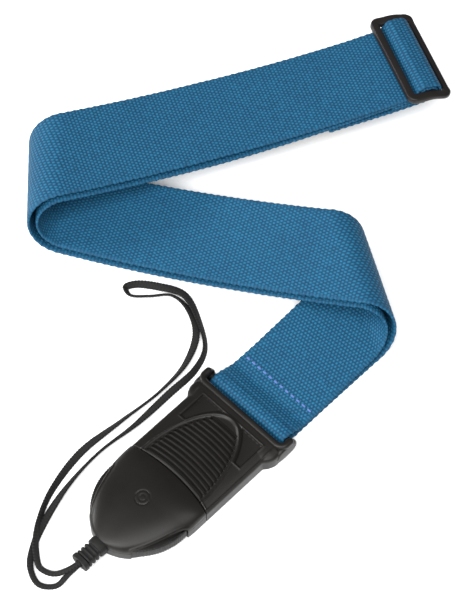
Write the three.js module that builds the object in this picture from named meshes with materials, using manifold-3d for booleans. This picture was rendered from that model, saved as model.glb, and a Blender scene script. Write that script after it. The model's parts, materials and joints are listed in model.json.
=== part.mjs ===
// Instrument strap: wide woven webbing with a three-bar slider at one end and, at the other, a
// side-release buckle whose free half ends in a ribbed boot and a loop of flat tie cord.
// The strap lies loosely folded in a Z. Millimetres, +Z up, on a table at z = 0. The origin is on
// the table under the middle of the whole part's extent.

import * as THREE from 'three';
import { mergeVertices } from 'three/addons/utils/BufferGeometryUtils.js';
import Module from 'manifold-3d';

const wasm = await Module();
wasm.setup();

const DEG = Math.PI / 180;

// ---------------------------------------------------------------- driving dimensions

// The strap's two layers are held close together at the bar and slider and lie loose between them.
const webbing = { width: 47.2, thickness: 1.6, gap: 0.4, looseGap: 2.6, heldLength: 26 };
const clearance = 0.3;
const joinOverlap = 1;

// Directions of the three runs, seen from above.
const heading = { lower: 45.5 * DEG, middle: 164 * DEG, upper: 19.8 * DEG };
// Centreline lengths: buckle bar to lower fold, fold to fold, upper fold to slider.
const run = { lower: 75.5, middle: 146, upper: 186 };

// A fold turns the strap by 180 degrees plus `over`, then eases to the slope `rise`.
const lowerFold = { radius: 9.7, over: 18 * DEG, rise: 0 };
const upperFold = { radius: 12.8, over: 9.7 * DEG, rise: 4.3 * DEG, ease: 148 };

const barRadius = 2.2;
const barApproach = { radius: 10, angle: 25 * DEG };

const slider = {
  length: 23.4, width: 57, barWidth: 3, barHeight: 2.8, centreRadius: 1.3, centreSpan: 1.7,
  railWidth: 3.9, hump: 1.3, centreHeight: 1.6, tilt: 13.6 * DEG, cornerRadius: 3, edgeRadius: 0.8,
};
const sliderTurn = { entry: 4, climb: 50 * DEG, exit: 12, descent: 20 * DEG };
const hemLength = 20;

// The tab's keyhole is a bore `boreBack` behind the nose's centre and a slit `slitReach` ahead of it.
const tab = {
  length: 58, width: 40, thickness: 2.4, sewn: 20, endRadius: 13, shoulder: 8,
  bore: 4, boreBack: 4, slit: 0.8, slitReach: 8,
};
const tail = { radius: 40, bend: 2.5 * DEG, length: 12 };

const stitch = { pitch: 3.6, length: 2.4, thread: 0.6, hole: 1.0 };
const stitchPlaces = { fromBar: 19, fromSlider: 18 };

// Buckle, measured forward (+X) from the centre of its end bar, with +Y across.
const buckle = {
  earInner: 25.7, earOuter: 28.6, earBack: -3.6, earFront: 15, earHeight: 9.6, earRadius: 3.4,
  plateStart: 7, mouth: 50.3, mouthRadius: 88, seam: 6, wall: 1.8, floor: 1.6,
};
const dome = {
  halfWidth: 24.6, taperStart: 60, tip: 96.5, cut: 96,
  crestStart: 10.3, crest: 13.8, crestX: 66, crestRun: 32, shoulder: 6.5,
};
const grip = {
  start: 12.3, halfWidth: 19.5, length: 38,
  first: 17.7, pitch: 2.5, count: 13, width: 1.3, depth: 1.2, margin: 2,
};
const panel = { back: 11, front: 22, inner: 3.5, outer: 20, depth: 0.9 };
const windowSpan = { start: 65, end: 90.5, halfWidth: 22.3 };
const tunnel = { halfWidth: 23.4, top: 7 };
// `hinge` is where each springy arm bends, at the bottom of its socket in the plate.
const prong = {
  hingeX: 50.4, hingeY: 15, socketEnd: 60.4, socketStart: 48.4, bottom: 2, top: 6.6,
  padStart: 65.3, padEnd: 90.2, startY: 22.3, endY: 14.6, bow: 3.4, innerY: 12.2, armWidth: 2.8,
};
const tongue = { halfWidth: 6, bottom: 2.3, top: 7.9, end: 80 };
const boot = {
  axis: 5.4, end: 109.5, boreWidth: 3.2, boreHeight: 3.8, holeStart: 90, holeEnd: 100, holeHalfWidth: 3.9,
  holeHalfHeight: 3,
};
const knot = { x: 86, radius: 3.2 };
const lace = { width: 2.4, thickness: 1.3, spacing: 1.7 };

// Distance of each layer's middle and of its outer face from the middle surface of the doubled strap.
function spacing(gap) {
  const offset = (webbing.thickness + gap) / 2;
  return { offset, half: offset + webbing.thickness / 2 };
}
const held = spacing(webbing.gap);
const loose = spacing(webbing.looseGap);

// ---------------------------------------------------------------- solids

function solidOf(geometry) {
  const bare = geometry.clone();
  bare.deleteAttribute('normal');
  bare.deleteAttribute('uv');
  const merged = mergeVertices(bare, 1e-4);
  return new wasm.Manifold(new wasm.Mesh({
    numProp: 3,
    vertProperties: Float32Array.from(merged.attributes.position.array),
    triVerts: Uint32Array.from(merged.index.array),
  }));
}

function geometryOf(solid) {
  const mesh = solid.getMesh();
  const geometry = new THREE.BufferGeometry();
  geometry.setAttribute('position', new THREE.BufferAttribute(Float32Array.from(mesh.vertProperties), 3));
  geometry.setIndex(new THREE.BufferAttribute(Uint32Array.from(mesh.triVerts), 1));
  geometry.computeVertexNormals();
  return geometry;
}

const join = (first, ...rest) => geometryOf(rest.reduce((sum, g) => sum.add(solidOf(g)), solidOf(first)));
const cut = (body, ...tools) => geometryOf(
  tools.reduce((left, tool) => left.subtract(solidOf(tool)), solidOf(body)),
);
const common = (first, second) => geometryOf(solidOf(first).intersect(solidOf(second)));

// Closed solid through a row of sections, each a convex loop with the same number of points.
function loft(sections) {
  const size = sections[0].length;
  const last = (sections.length - 1) * size;
  const index = [];
  for (let row = 0; row + 1 < sections.length; row++) {
    for (let i = 0; i < size; i++) {
      const here = row * size + i;
      const next = row * size + ((i + 1) % size);
      index.push(here, next, next + size, here, next + size, here + size);
    }
  }
  for (let i = 1; i + 1 < size; i++) {
    index.push(0, i + 1, i, last, last + i, last + i + 1);
  }
  const positions = sections.flat().flatMap((p) => p.toArray());
  if (signedVolume(positions, index) < 0) index.reverse();
  const geometry = new THREE.BufferGeometry();
  geometry.setAttribute('position', new THREE.Float32BufferAttribute(positions, 3));
  geometry.setIndex(index);
  geometry.computeVertexNormals();
  return geometry;
}

function signedVolume(positions, index) {
  const corner = (k) => new THREE.Vector3().fromArray(positions, 3 * index[k]);
  let volume = 0;
  for (let k = 0; k < index.length; k += 3) {
    volume += corner(k).dot(corner(k + 1).cross(corner(k + 2))) / 6;
  }
  return volume;
}

// Box given by its lowest and highest corners.
function block(low, high) {
  const size = high.map((v, i) => v - low[i]);
  return new THREE.BoxGeometry(...size).translate(...low.map((v, i) => v + size[i] / 2));
}

// Outline in (x, z) swept across from y = low to y = high.
function sidePrism(shape, low, high, curveSegments = 4) {
  const options = { depth: high - low, bevelEnabled: false, curveSegments };
  return new THREE.ExtrudeGeometry(shape, options).rotateX(Math.PI / 2).translate(0, high, 0);
}

// Outline in (x, y) raised from z = low to z = high.
function planPrism(shape, low, high, curveSegments = 6) {
  const options = { depth: high - low, bevelEnabled: false, curveSegments };
  return new THREE.ExtrudeGeometry(shape, options).translate(0, 0, low);
}

function roundedRectangle(lowX, lowY, highX, highY, radius) {
  const shape = new THREE.Shape();
  shape.absarc(highX - radius, lowY + radius, radius, -Math.PI / 2, 0);
  shape.absarc(highX - radius, highY - radius, radius, 0, Math.PI / 2);
  shape.absarc(lowX + radius, highY - radius, radius, Math.PI / 2, Math.PI);
  shape.absarc(lowX + radius, lowY + radius, radius, Math.PI, Math.PI * 1.5);
  return shape;
}

// Loop of points round a superellipse in the plane at x.
function ovalSection(x, halfWidth, halfHeight, centreZ, count, power) {
  const bulgePower = 2 / power;
  return Array.from({ length: count }, (_, i) => {
    const angle = (2 * Math.PI * i) / count;
    const y = halfWidth * Math.sign(Math.cos(angle)) * Math.abs(Math.cos(angle)) ** bulgePower;
    const z = halfHeight * Math.sign(Math.sin(angle)) * Math.abs(Math.sin(angle)) ** bulgePower;
    return new THREE.Vector3(x, y, centreZ + z);
  });
}

// ---------------------------------------------------------------- the webbing's path

const unit = (angle) => new THREE.Vector3(Math.cos(angle), Math.sin(angle), 0);
const upward = new THREE.Vector3(0, 0, 1);

// Follows straight and curved legs in a vertical plane and returns a point at each step.
function walk(start, legs) {
  const finestTurn = 12 * DEG;
  const path = [{ ...start, reach: 0 }];
  let { n, z, angle } = start;
  let reach = 0;
  for (const leg of legs) {
    const steps = Math.max(1, Math.ceil(Math.abs(leg.turn) / finestTurn));
    const turn = leg.turn / steps;
    const part = leg.length / steps;
    const chord = turn === 0 ? part : (part * Math.sin(turn / 2)) / (turn / 2);
    for (let i = 0; i < steps; i++) {
      n += chord * Math.cos(angle + turn / 2);
      z += chord * Math.sin(angle + turn / 2);
      angle += turn;
      reach += part;
      path.push({ n, z, angle, reach });
    }
  }
  return path;
}

const straight = (length) => ({ length, turn: 0 });
const arc = (radius, turn) => ({ length: Math.abs(radius * turn), turn });

// A fold frame: the strap meets the fold line at `skew` from square.
function foldFrame(origin, headingIn, headingOut, sideways) {
  const across = unit((headingIn + headingOut) / 2);
  const along = unit((headingIn + headingOut) / 2 + sideways);
  const skew = Math.asin(unit(headingIn).dot(across));
  return { origin, along, across, up: upward, skew };
}

// Point of the strap: `side` is the distance off the path's middle surface, `w` the distance across.
function strapPoint(frame, step, side, w) {
  const n = step.n + side * Math.sin(step.angle);
  const z = step.z - side * Math.cos(step.angle);
  const v = step.reach * Math.tan(frame.skew) + w / Math.cos(frame.skew);
  return frame.origin.clone()
    .addScaledVector(frame.along, n)
    .addScaledVector(frame.across, v)
    .addScaledVector(frame.up, z);
}

// Cross-section of one layer. `face` is its outer face and `back` its inner face.
function station(frame, step, face, back) {
  const half = webbing.width / 2;
  return [
    strapPoint(frame, step, face, half),
    strapPoint(frame, step, face, -half),
    strapPoint(frame, step, back, -half),
    strapPoint(frame, step, back, half),
  ];
}

// One layer of the doubled strap along a path.
function layer(frame, path, side) {
  return path.map((step) => {
    const { half } = step.loose ? loose : held;
    return station(frame, step, side * half, side * (half - webbing.thickness));
  });
}

function foldPath(fold, ease) {
  const path = walk({ n: 0, z: loose.half, angle: 0 }, [
    arc(fold.radius, Math.PI + fold.over),
    { length: ease, turn: -(fold.over + fold.rise) },
  ]);
  return path.map((step) => ({ ...step, loose: true }));
}

// Lower fold: from the lower run up and over on to the middle run, then down to the table.
const lowerFrame = foldFrame(new THREE.Vector3(), heading.lower, heading.middle, -Math.PI / 2);
const lowerDrop = lowerFold.radius * (1 + Math.cos(lowerFold.over));
const lowerEase = (lowerDrop * lowerFold.over) / (1 - Math.cos(lowerFold.over));
const lower = foldPath(lowerFold, lowerEase);

// Upper fold: from the middle run up and over on to the upper run, which sags and rises again.
const lowerEnd = lower.at(-1);
const middleEnd = strapPoint(lowerFrame, lowerEnd, 0, 0).setZ(0);
const middleLeft = run.middle - lowerEase / Math.cos(lowerFrame.skew);
const upperOrigin = middleEnd.clone().addScaledVector(unit(heading.middle), middleLeft);
const upperFrame = foldFrame(upperOrigin, heading.middle, heading.upper, Math.PI / 2);
const upper = foldPath(upperFold, upperFold.ease);
upper.at(-1).loose = false;

// The upper run ends in a flat ramp; the slider's frame lies in that ramp.
const rampLength = run.upper * Math.cos(upperFrame.skew) - upperFold.ease;
const rampEnd = walk(upper.at(-1), [straight(rampLength)]).at(-1);
rampEnd.reach += upper.at(-1).reach;

function rampFrame(frame, step) {
  const forward = frame.along.clone().multiplyScalar(Math.cos(step.angle))
    .addScaledVector(upward, Math.sin(step.angle));
  const normal = frame.along.clone().multiplyScalar(Math.sin(step.angle))
    .addScaledVector(upward, -Math.cos(step.angle));
  const along = forward.clone().multiplyScalar(Math.cos(frame.skew))
    .addScaledVector(frame.across, Math.sin(frame.skew));
  const across = forward.clone().multiplyScalar(-Math.sin(frame.skew))
    .addScaledVector(frame.across, Math.cos(frame.skew));
  return { origin: strapPoint(frame, step, 0, 0), along, across, up: normal, skew: 0 };
}
const sliderFrame = rampFrame(upperFrame, rampEnd);

// Both layers climb through the slider, go over its tilted centre bar and come back underneath.
const loopRadius = slider.centreRadius + clearance + webbing.thickness + webbing.gap / 2;
const nearEdge = {
  x: -slider.centreSpan * Math.cos(slider.tilt),
  z: slider.centreHeight + slider.centreSpan * Math.sin(slider.tilt),
};
const climbRise = nearEdge.z + loopRadius * Math.cos(sliderTurn.climb)
  - sliderTurn.entry * (1 - Math.cos(sliderTurn.climb));
const climbRun = climbRise / Math.tan(sliderTurn.climb);
const entryX = nearEdge.x - loopRadius * Math.sin(sliderTurn.climb) - climbRun
  - sliderTurn.entry * Math.sin(sliderTurn.climb);
const sliderEntry = [
  straight(webbing.heldLength + entryX),
  arc(sliderTurn.entry, sliderTurn.climb),
  straight(climbRise / Math.sin(sliderTurn.climb)),
  arc(loopRadius, -(sliderTurn.climb + slider.tilt)),
  straight(2 * slider.centreSpan),
  arc(loopRadius, slider.tilt + sliderTurn.descent - Math.PI),
];
// Under the bar the layers run down to the level below the incoming strap, then back along it.
const returnLevel = -(2 * held.half + webbing.gap);
const sliderStart = { n: -webbing.heldLength, z: 0, angle: 0 };
const loopEnd = walk(sliderStart, sliderEntry).at(-1);
const exitDrop = sliderTurn.exit * (1 - Math.cos(sliderTurn.descent));
const slopeLength = (loopEnd.z - exitDrop - returnLevel) / Math.sin(sliderTurn.descent);
const sliderPath = walk(sliderStart, [
  ...sliderEntry,
  straight(slopeLength),
  arc(sliderTurn.exit, -sliderTurn.descent),
]);
const returnStart = sliderPath.at(-1);
const hemEnd = walk(returnStart, [straight(hemLength + returnStart.n)]).at(-1);

// The tail leaves the slider below the hem and runs close under the strap to the tab sewn to its end.
const tailPath = walk(returnStart, [
  straight(hemLength + returnStart.n),
  arc(tail.radius, -tail.bend),
  straight(tail.length),
  straight(tab.sewn),
]).slice(1);

// Round the buckle's end bar: the upper layer climbs over the bar and returns as the lower layer.
const wrapRadius = barRadius + clearance + webbing.thickness / 2;
const barHeight = webbing.thickness / 2 + wrapRadius;
const approachRise = barHeight + wrapRadius - held.half - held.offset;
const approachStraight = (approachRise - 2 * barApproach.radius * (1 - Math.cos(barApproach.angle)))
  / Math.sin(barApproach.angle);
const approachLength = 2 * barApproach.radius * Math.sin(barApproach.angle)
  + approachStraight * Math.cos(barApproach.angle);
const barFrame = {
  origin: unit(heading.lower).multiplyScalar(-run.lower),
  along: unit(heading.lower),
  across: unit(heading.lower + Math.PI / 2),
  up: upward,
  skew: 0,
};
const barPath = walk({ n: webbing.heldLength, z: held.half + held.offset, angle: Math.PI }, [
  straight(webbing.heldLength - approachLength),
  arc(barApproach.radius, -barApproach.angle),
  straight(approachStraight),
  arc(barApproach.radius, barApproach.angle),
  arc(wrapRadius, Math.PI),
  straight(webbing.heldLength),
]);

function webbingGeometry() {
  const half = webbing.thickness / 2;
  const hem = [...sliderPath, hemEnd];
  const tailSide = [...sliderPath, ...tailPath];
  const sections = [
    ...layer(sliderFrame, tailSide, -1).reverse(),
    ...layer(upperFrame, upper, 1).reverse(),
    ...layer(lowerFrame, lower, -1).reverse(),
    ...barPath.map((step) => station(barFrame, step, half, -half)),
    ...layer(lowerFrame, lower, 1),
    ...layer(upperFrame, upper, -1),
    ...layer(sliderFrame, hem, 1),
  ];
  return loft(sections);
}

// ---------------------------------------------------------------- stitching

// One thread in a square wave across the strap, with the wider hole that it needs.
function stitchRow(count, topZ, bottomZ) {
  const wave = (size) => {
    const grow = size / 2;
    const above = [];
    const below = [];
    for (let i = 0; i < count; i++) {
      const from = (i - (count - 1) / 2) * stitch.pitch - stitch.length / 2;
      const to = from + stitch.length;
      if (i > 0) {
        above.push([from - grow, bottomZ + grow]);
        below.push([from + grow, bottomZ - grow], [from + grow, topZ - grow]);
      } else {
        below.push([from - grow, topZ - grow]);
      }
      above.push([from - grow, topZ + grow], [to + grow, topZ + grow]);
      if (i + 1 < count) {
        above.push([to + grow, bottomZ + grow]);
        below.push([to - grow, topZ - grow], [to - grow, bottomZ - grow]);
      } else {
        below.push([to + grow, topZ - grow]);
      }
    }
    const outline = new THREE.Shape([...above, ...below.reverse()].map((p) => new THREE.Vector2(...p)));
    const options = { depth: size, bevelEnabled: false };
    return new THREE.ExtrudeGeometry(outline, options)
      .translate(0, 0, -grow).rotateX(Math.PI / 2).rotateZ(Math.PI / 2);
  };
  return { thread: wave(stitch.thread), hole: wave(stitch.hole) };
}

const stitchSink = 0.1;
const stitchDepth = stitch.thread / 2 + stitchSink;
const barRow = stitchRow(12, 2 * held.half - stitchSink, stitchDepth);
const hemTop = -held.offset + webbing.thickness / 2 - stitchSink;
const hemBottom = returnLevel + held.offset - webbing.thickness / 2 + stitchDepth;
const hemRow = stitchRow(12, hemTop - stitch.thread / 2, hemBottom);
const tabTop = -webbing.thickness / 2 - clearance;
const tabRow = stitchRow(10, webbing.thickness / 2 - stitchSink, tabTop - tab.thickness + stitchDepth);

// ---------------------------------------------------------------- end tab

// Tapered tab with a keyhole for a strap button; +X runs away from the slider.
function tabOutline() {
  const half = tab.width / 2;
  const nose = tab.length - tab.endRadius;
  const waist = nose - tab.shoulder;
  const shape = new THREE.Shape();
  shape.moveTo(0, -half);
  shape.lineTo(tab.sewn, -half);
  shape.bezierCurveTo(waist, -half, waist, -tab.endRadius, nose, -tab.endRadius);
  shape.absarc(nose, 0, tab.endRadius, -Math.PI / 2, Math.PI / 2);
  shape.bezierCurveTo(waist, tab.endRadius, waist, half, tab.sewn, half);
  shape.lineTo(0, half);
  shape.closePath();
  const hole = new THREE.Path();
  const halfGap = Math.asin(tab.slit / tab.bore);
  const slitEnd = nose + tab.slitReach;
  hole.absarc(nose - tab.boreBack, 0, tab.bore, halfGap, 2 * Math.PI - halfGap);
  hole.lineTo(slitEnd, -tab.slit);
  hole.lineTo(slitEnd, tab.slit);
  shape.holes.push(hole);
  return shape;
}

// ---------------------------------------------------------------- slider

function sliderGeometry() {
  const halfLength = slider.length / 2;
  const halfWidth = slider.width / 2;
  const halfBar = slider.barHeight / 2;
  const railInner = halfWidth - slider.railWidth;
  const endBar = (x) => sidePrism(
    roundedRectangle(x - slider.barWidth / 2, -halfBar, x + slider.barWidth / 2, halfBar, slider.edgeRadius),
    -halfWidth, halfWidth, 3,
  );
  // Side rail, seen from the side: it arches over the centre bar.
  const archBottom = slider.hump - halfBar;
  const archTop = slider.hump + halfBar;
  const archFoot = 0.55 * halfLength;
  const archEase = 0.3 * halfLength;
  const crownEase = 0.4 * halfLength;
  const crownFoot = 0.5 * halfLength;
  const rail = new THREE.Shape();
  rail.moveTo(-halfLength, -halfBar);
  rail.lineTo(-archFoot, -halfBar);
  rail.bezierCurveTo(-archEase, -halfBar, -archEase, archBottom, 0, archBottom);
  rail.bezierCurveTo(archEase, archBottom, archEase, -halfBar, archFoot, -halfBar);
  rail.lineTo(halfLength, -halfBar);
  rail.lineTo(halfLength, halfBar);
  rail.bezierCurveTo(crownFoot, halfBar, crownEase, archTop, 0, archTop);
  rail.bezierCurveTo(-crownEase, archTop, -crownFoot, halfBar, -halfLength, halfBar);
  const centreReach = slider.centreSpan + slider.centreRadius;
  const centreBar = sidePrism(
    roundedRectangle(-centreReach, -slider.centreRadius, centreReach, slider.centreRadius, slider.centreRadius),
    -railInner - joinOverlap, railInner + joinOverlap,
  );
  const bars = join(
    endBar(-halfLength + slider.barWidth / 2),
    endBar(halfLength - slider.barWidth / 2),
    centreBar,
    sidePrism(rail, railInner, halfWidth),
    sidePrism(rail, -halfWidth, -railInner),
  );
  const plan = roundedRectangle(-halfLength, -halfWidth, halfLength, halfWidth, slider.cornerRadius);
  return common(bars, planPrism(plan, -halfLength, halfLength));
}

// ---------------------------------------------------------------- buckle

function halfWidthAt(x, full = dome.halfWidth) {
  if (x <= dome.taperStart) return full;
  const share = (x - dome.taperStart) / (dome.tip - dome.taperStart);
  return full * Math.sqrt(1 - share * share);
}

function crestAt(x) {
  const rise = dome.crest - dome.crestStart;
  if (x < dome.crestX) {
    const back = Math.min(1, (dome.crestX - x) / (dome.crestX - buckle.mouth));
    return dome.crest - rise * back * back;
  }
  const share = (x - dome.crestX) / dome.crestRun;
  return dome.shoulder + (dome.crest - dome.shoulder) * Math.sqrt(1 - share * share);
}

// Cross-section of the buckle's body: straight sides up to the seam, then a flattened arch.
function archSection(x, inset, floor, power = 2.7) {
  const halfWidth = halfWidthAt(x) - inset;
  const top = crestAt(x) - inset;
  const count = 12;
  const points = [new THREE.Vector3(x, halfWidth, floor)];
  for (let i = 0; i <= count; i++) {
    const angle = (Math.PI * i) / count;
    const y = halfWidth * Math.sign(Math.cos(angle)) * Math.abs(Math.cos(angle)) ** (2 / power);
    const z = buckle.seam + (top - buckle.seam) * Math.sin(angle) ** (2 / power);
    points.push(new THREE.Vector3(x, y, z));
  }
  points.push(new THREE.Vector3(x, -halfWidth, floor));
  return points;
}

// Upright drum whose front arc is the curved parting line between the two halves.
function mouthDrum(radius) {
  const height = 60;
  return new THREE.CylinderGeometry(radius, radius, height, 160).rotateX(Math.PI / 2)
    .translate(buckle.mouth + buckle.mouthRadius, 0, 0);
}

function strapHalfGeometry() {
  const plateEnd = dome.taperStart;
  const plate = cut(
    loft([buckle.plateStart, buckle.mouth, plateEnd].map((x) => archSection(x, 0, 0))),
    mouthDrum(buckle.mouthRadius + clearance),
  );
  const ear = roundedRectangle(
    buckle.earBack, clearance, buckle.earFront, buckle.earHeight, buckle.earRadius,
  );
  const bar = new THREE.CylinderGeometry(barRadius, barRadius, 2 * buckle.earInner + joinOverlap, 16)
    .translate(0, 0, barHeight);
  // Feet that carry the ears on the sides of the plate.
  const footInner = dome.halfWidth - 2 * joinOverlap;
  const footOuter = buckle.earInner + joinOverlap;
  const foot = (side) => block(
    [buckle.plateStart + joinOverlap, side > 0 ? footInner : -footOuter, joinOverlap],
    [buckle.earFront - 2 * joinOverlap, side > 0 ? footOuter : -footInner, buckle.seam],
  );
  const bodies = join(
    plate,
    sidePrism(ear, buckle.earInner, buckle.earOuter),
    sidePrism(ear, -buckle.earOuter, -buckle.earInner),
    foot(1),
    foot(-1),
    bar,
    block(
      [buckle.mouth - joinOverlap, -tongue.halfWidth, tongue.bottom],
      [tongue.end, tongue.halfWidth, tongue.top],
    ),
  );
  return cut(bodies, ...gripGrooves(), ...cornerPanels(), ...prongSockets());
}

// Curved transverse grooves inside a half oval that opens towards the parting line.
function gripGrooves() {
  const centreX = buckle.mouth + buckle.mouthRadius;
  const grooves = [];
  for (let i = 0; i < grip.count; i++) {
    const x = grip.first + i * grip.pitch;
    const share = 1 - (x - grip.start) / grip.length;
    const reach = grip.halfWidth * Math.sqrt(1 - share * share) - grip.margin;
    const radius = centreX - x;
    const span = Math.asin(reach / radius);
    const groove = new THREE.Shape();
    groove.absarc(centreX, 0, radius + grip.width / 2, Math.PI - span, Math.PI + span);
    groove.absarc(centreX, 0, radius - grip.width / 2, Math.PI + span, Math.PI - span, true);
    grooves.push(planPrism(groove, dome.crestStart - grip.depth, dome.crest, 4));
  }
  return grooves;
}

// Shallow three-cornered recesses either side of the oval.
function cornerPanels() {
  return [1, -1].map((side) => {
    const outline = new THREE.Shape();
    outline.moveTo(panel.back, side * panel.inner);
    outline.lineTo(panel.back, side * panel.outer);
    outline.lineTo(panel.front, side * panel.outer);
    outline.quadraticCurveTo((panel.back + panel.front) / 2, side * 14, panel.back, side * panel.inner);
    return planPrism(outline, dome.crestStart - panel.depth, dome.crest, 4);
  });
}

// Slots in the plate's front edge that the prongs spring from.
function prongSockets() {
  const half = prong.armWidth / 2 + 2 * clearance;
  return [1, -1].map((side) => block(
    [prong.socketStart, side * prong.hingeY - half, prong.bottom - clearance],
    [prong.socketEnd, side * prong.hingeY + half, prong.top + clearance],
  ));
}

// Springy arm with a finger pad at its end. `side` is 1 for the left prong and -1 for the right.
function prongGeometry(side) {
  const arm = new THREE.Shape();
  const inner = prong.hingeY - prong.armWidth / 2;
  const outer = prong.hingeY + prong.armWidth / 2;
  const middle = (prong.padStart + prong.padEnd) / 2;
  arm.moveTo(prong.hingeX, side * inner);
  arm.lineTo(prong.padStart, side * inner);
  arm.lineTo(prong.padEnd, side * prong.innerY);
  arm.lineTo(prong.padEnd, side * prong.endY);
  arm.quadraticCurveTo(middle + 2, side * (prong.startY + prong.bow), prong.padStart, side * prong.startY);
  arm.lineTo(prong.padStart, side * outer);
  arm.lineTo(prong.hingeX, side * outer);
  arm.closePath();
  return planPrism(arm, prong.bottom, prong.top, 10);
}

function housingGeometry() {
  const outerStations = [
    buckle.mouth - 2, 58, dome.taperStart, 63, 66, 70, 74, 78, 82, 86, 89, 92, 94, dome.cut,
  ];
  const innerStations = [buckle.mouth - 4, dome.taperStart, 64, 68, 72, 76, 80, 84, 88, 92.6];
  const body = common(
    loft(outerStations.map((x) => archSection(x, 0, 0))),
    mouthDrum(buckle.mouthRadius),
  );
  const bootHole = block(
    [boot.holeStart, -boot.holeHalfWidth, boot.axis - boot.holeHalfHeight],
    [boot.holeEnd, boot.holeHalfWidth, boot.axis + boot.holeHalfHeight],
  );
  return cut(
    body,
    loft(innerStations.map((x) => archSection(x, buckle.wall, buckle.floor))),
    block(
      [innerStations[0], -tunnel.halfWidth, buckle.floor],
      [windowSpan.end, tunnel.halfWidth, tunnel.top],
    ),
    ...[1, -1].map(windowTool),
    bootHole,
  );
}

// Removes the side of the dome where a finger reaches the pad.
function windowTool(side) {
  const outside = 40;
  const count = 7;
  const shape = new THREE.Shape();
  shape.moveTo(windowSpan.start, side * outside);
  for (let i = 0; i <= count; i++) {
    const x = windowSpan.start + ((windowSpan.end - windowSpan.start) * i) / count;
    shape.lineTo(x, side * halfWidthAt(x, windowSpan.halfWidth));
  }
  shape.lineTo(windowSpan.end, side * outside);
  shape.closePath();
  return planPrism(shape, -joinOverlap, 2 * dome.crest);
}

// One shell of the housing, cut along the seam all round.
function housingShell(geometry, upperShell) {
  const far = 200;
  const half = clearance / 2;
  const removedBottom = upperShell ? -far : buckle.seam - half;
  const removedTop = upperShell ? buckle.seam + half : far;
  return cut(geometry, block([-far, -far, removedBottom], [far, far, removedTop]));
}

// Rubber boot: a flange inside the dome, a neck through its tip, a head, three ribs and an end flange.
function bootGeometry() {
  // Each entry is the distance along, the half-width and the half-height.
  const outline = [
    [90.6, 5.2, 3.3], [92.2, 5.2, 3.3], [92.2, 3.5, 2.6],
    [96.4, 3.5, 2.6], [96.4, 3.8, 3.0], [97.2, 4.3, 3.5],
    [99.4, 4.3, 3.5],
  ];
  const rib = { first: 100.2, pitch: 2.2, count: 3, groove: 0.8, slope: 0.3 };
  for (let i = 0; i < rib.count; i++) {
    const x = rib.first + i * rib.pitch;
    outline.push([x, 3.7, 2.9], [x + rib.groove, 3.7, 2.9]);
    outline.push([x + rib.groove + rib.slope, 4.4, 3.4], [x + rib.pitch - rib.slope, 4.4, 3.4]);
  }
  outline.push([106.9, 3.9, 3.1], [107.4, 4.6, 3.6], [boot.end, 4.6, 3.6]);
  const sections = outline.map(([x, y, z], i) => ovalSection(x + i * 1e-3, y, z, boot.axis, 16, 3.2));
  const bore = block(
    [80, -boot.boreWidth / 2, boot.axis - boot.boreHeight / 2],
    [120, boot.boreWidth / 2, boot.axis + boot.boreHeight / 2],
  );
  return cut(loft(sections), bore);
}

// Overhand knot inside the housing, with the two strands that run from it through the boot.
function knotGeometry() {
  const ball = new THREE.SphereGeometry(knot.radius, 14, 10).translate(knot.x, 0, boot.axis);
  const strandEnd = boot.end - joinOverlap;
  const strand = (level) => block(
    [knot.x, -lace.width / 2, level - lace.thickness / 2],
    [strandEnd, lace.width / 2, level + lace.thickness / 2],
  );
  return join(ball, strand(boot.axis - lace.spacing / 2), strand(boot.axis + lace.spacing / 2));
}

// The loop of flat lace: out along one strand, round the far end and back along the other.
function cordGeometry() {
  const rest = lace.thickness / 2 + 0.4;
  const above = rest + lace.thickness + clearance;
  const start = boot.end + 0.7;
  // Points in the buckle's own frame: forward from the end bar, across, and above the table.
  const outward = [
    [start, 0, boot.axis - lace.spacing / 2], [116, -0.5, 3], [123, -1, rest], [128, -7, rest],
    [125, -16, rest], [116, -23, rest], [102, -29, rest], [85, -33.5, rest], [64, -35.5, rest],
    [42, -33.8, rest], [20, -34.2, rest], [2, -34.6, rest], [-9, -39, rest], [-18, -52, rest],
    [-23.5, -68, rest], [-18, -80, rest], [-11, -89, rest],
  ];
  const homeward = [
    [-6.5, -91, rest], [-5, -86.5, rest], [-11, -79.5, rest], [-19, -72, rest], [-19.5, -62, rest],
    [-13, -49, rest], [2, -40.5, rest], [22, -38.2, rest],
    [46, -40, rest], [70, -41.5, rest], [92, -37, rest],
    [104, -31.5, rest + 0.6], [113, -25, above], [119, -18.5, above], [122.5, -12, above],
    [120.5, -5.5, above + 0.3], [115.5, -1.5, boot.axis], [start, 0, boot.axis + lace.spacing / 2],
  ];
  const points = [...outward, ...homeward].map((p) => new THREE.Vector3(...p));
  const path = new THREE.CatmullRomCurve3(points, false, 'centripetal');
  const half = [lace.width / 2, lace.thickness / 2];
  const shape = new THREE.Shape([[1, 1], [-1, 1], [-1, -1], [1, -1]]
    .map(([a, b]) => new THREE.Vector2(a * half[0], b * half[1])));
  return new THREE.ExtrudeGeometry(shape, { steps: 170, extrudePath: path });
}

// ---------------------------------------------------------------- materials

const finish = (color, roughness) => new THREE.MeshStandardMaterial({ color, roughness, metalness: 0 });
const blueWebbing = () => finish(0x1f6e9c, 0.85);
const paleThread = () => finish(0x6a86c8, 0.7);
const blackPlastic = () => finish(0x1b1a19, 0.42);
const blackRubber = () => finish(0x161616, 0.7);
const blackLace = () => finish(0x141414, 0.8);
const blackLeather = () => finish(0x1a1817, 0.6);

// ---------------------------------------------------------------- assembly

function mesh(name, geometry, material) {
  const made = new THREE.Mesh(geometry, material);
  made.name = name;
  return made;
}

// Group whose X, Y and Z are the frame's along, across and up directions.
function groupIn(frame) {
  const made = new THREE.Group();
  const basis = new THREE.Matrix4().makeBasis(frame.along, frame.across, frame.up).setPosition(frame.origin);
  basis.decompose(made.position, made.quaternion, made.scale);
  made.updateMatrix();
  return made;
}

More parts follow.
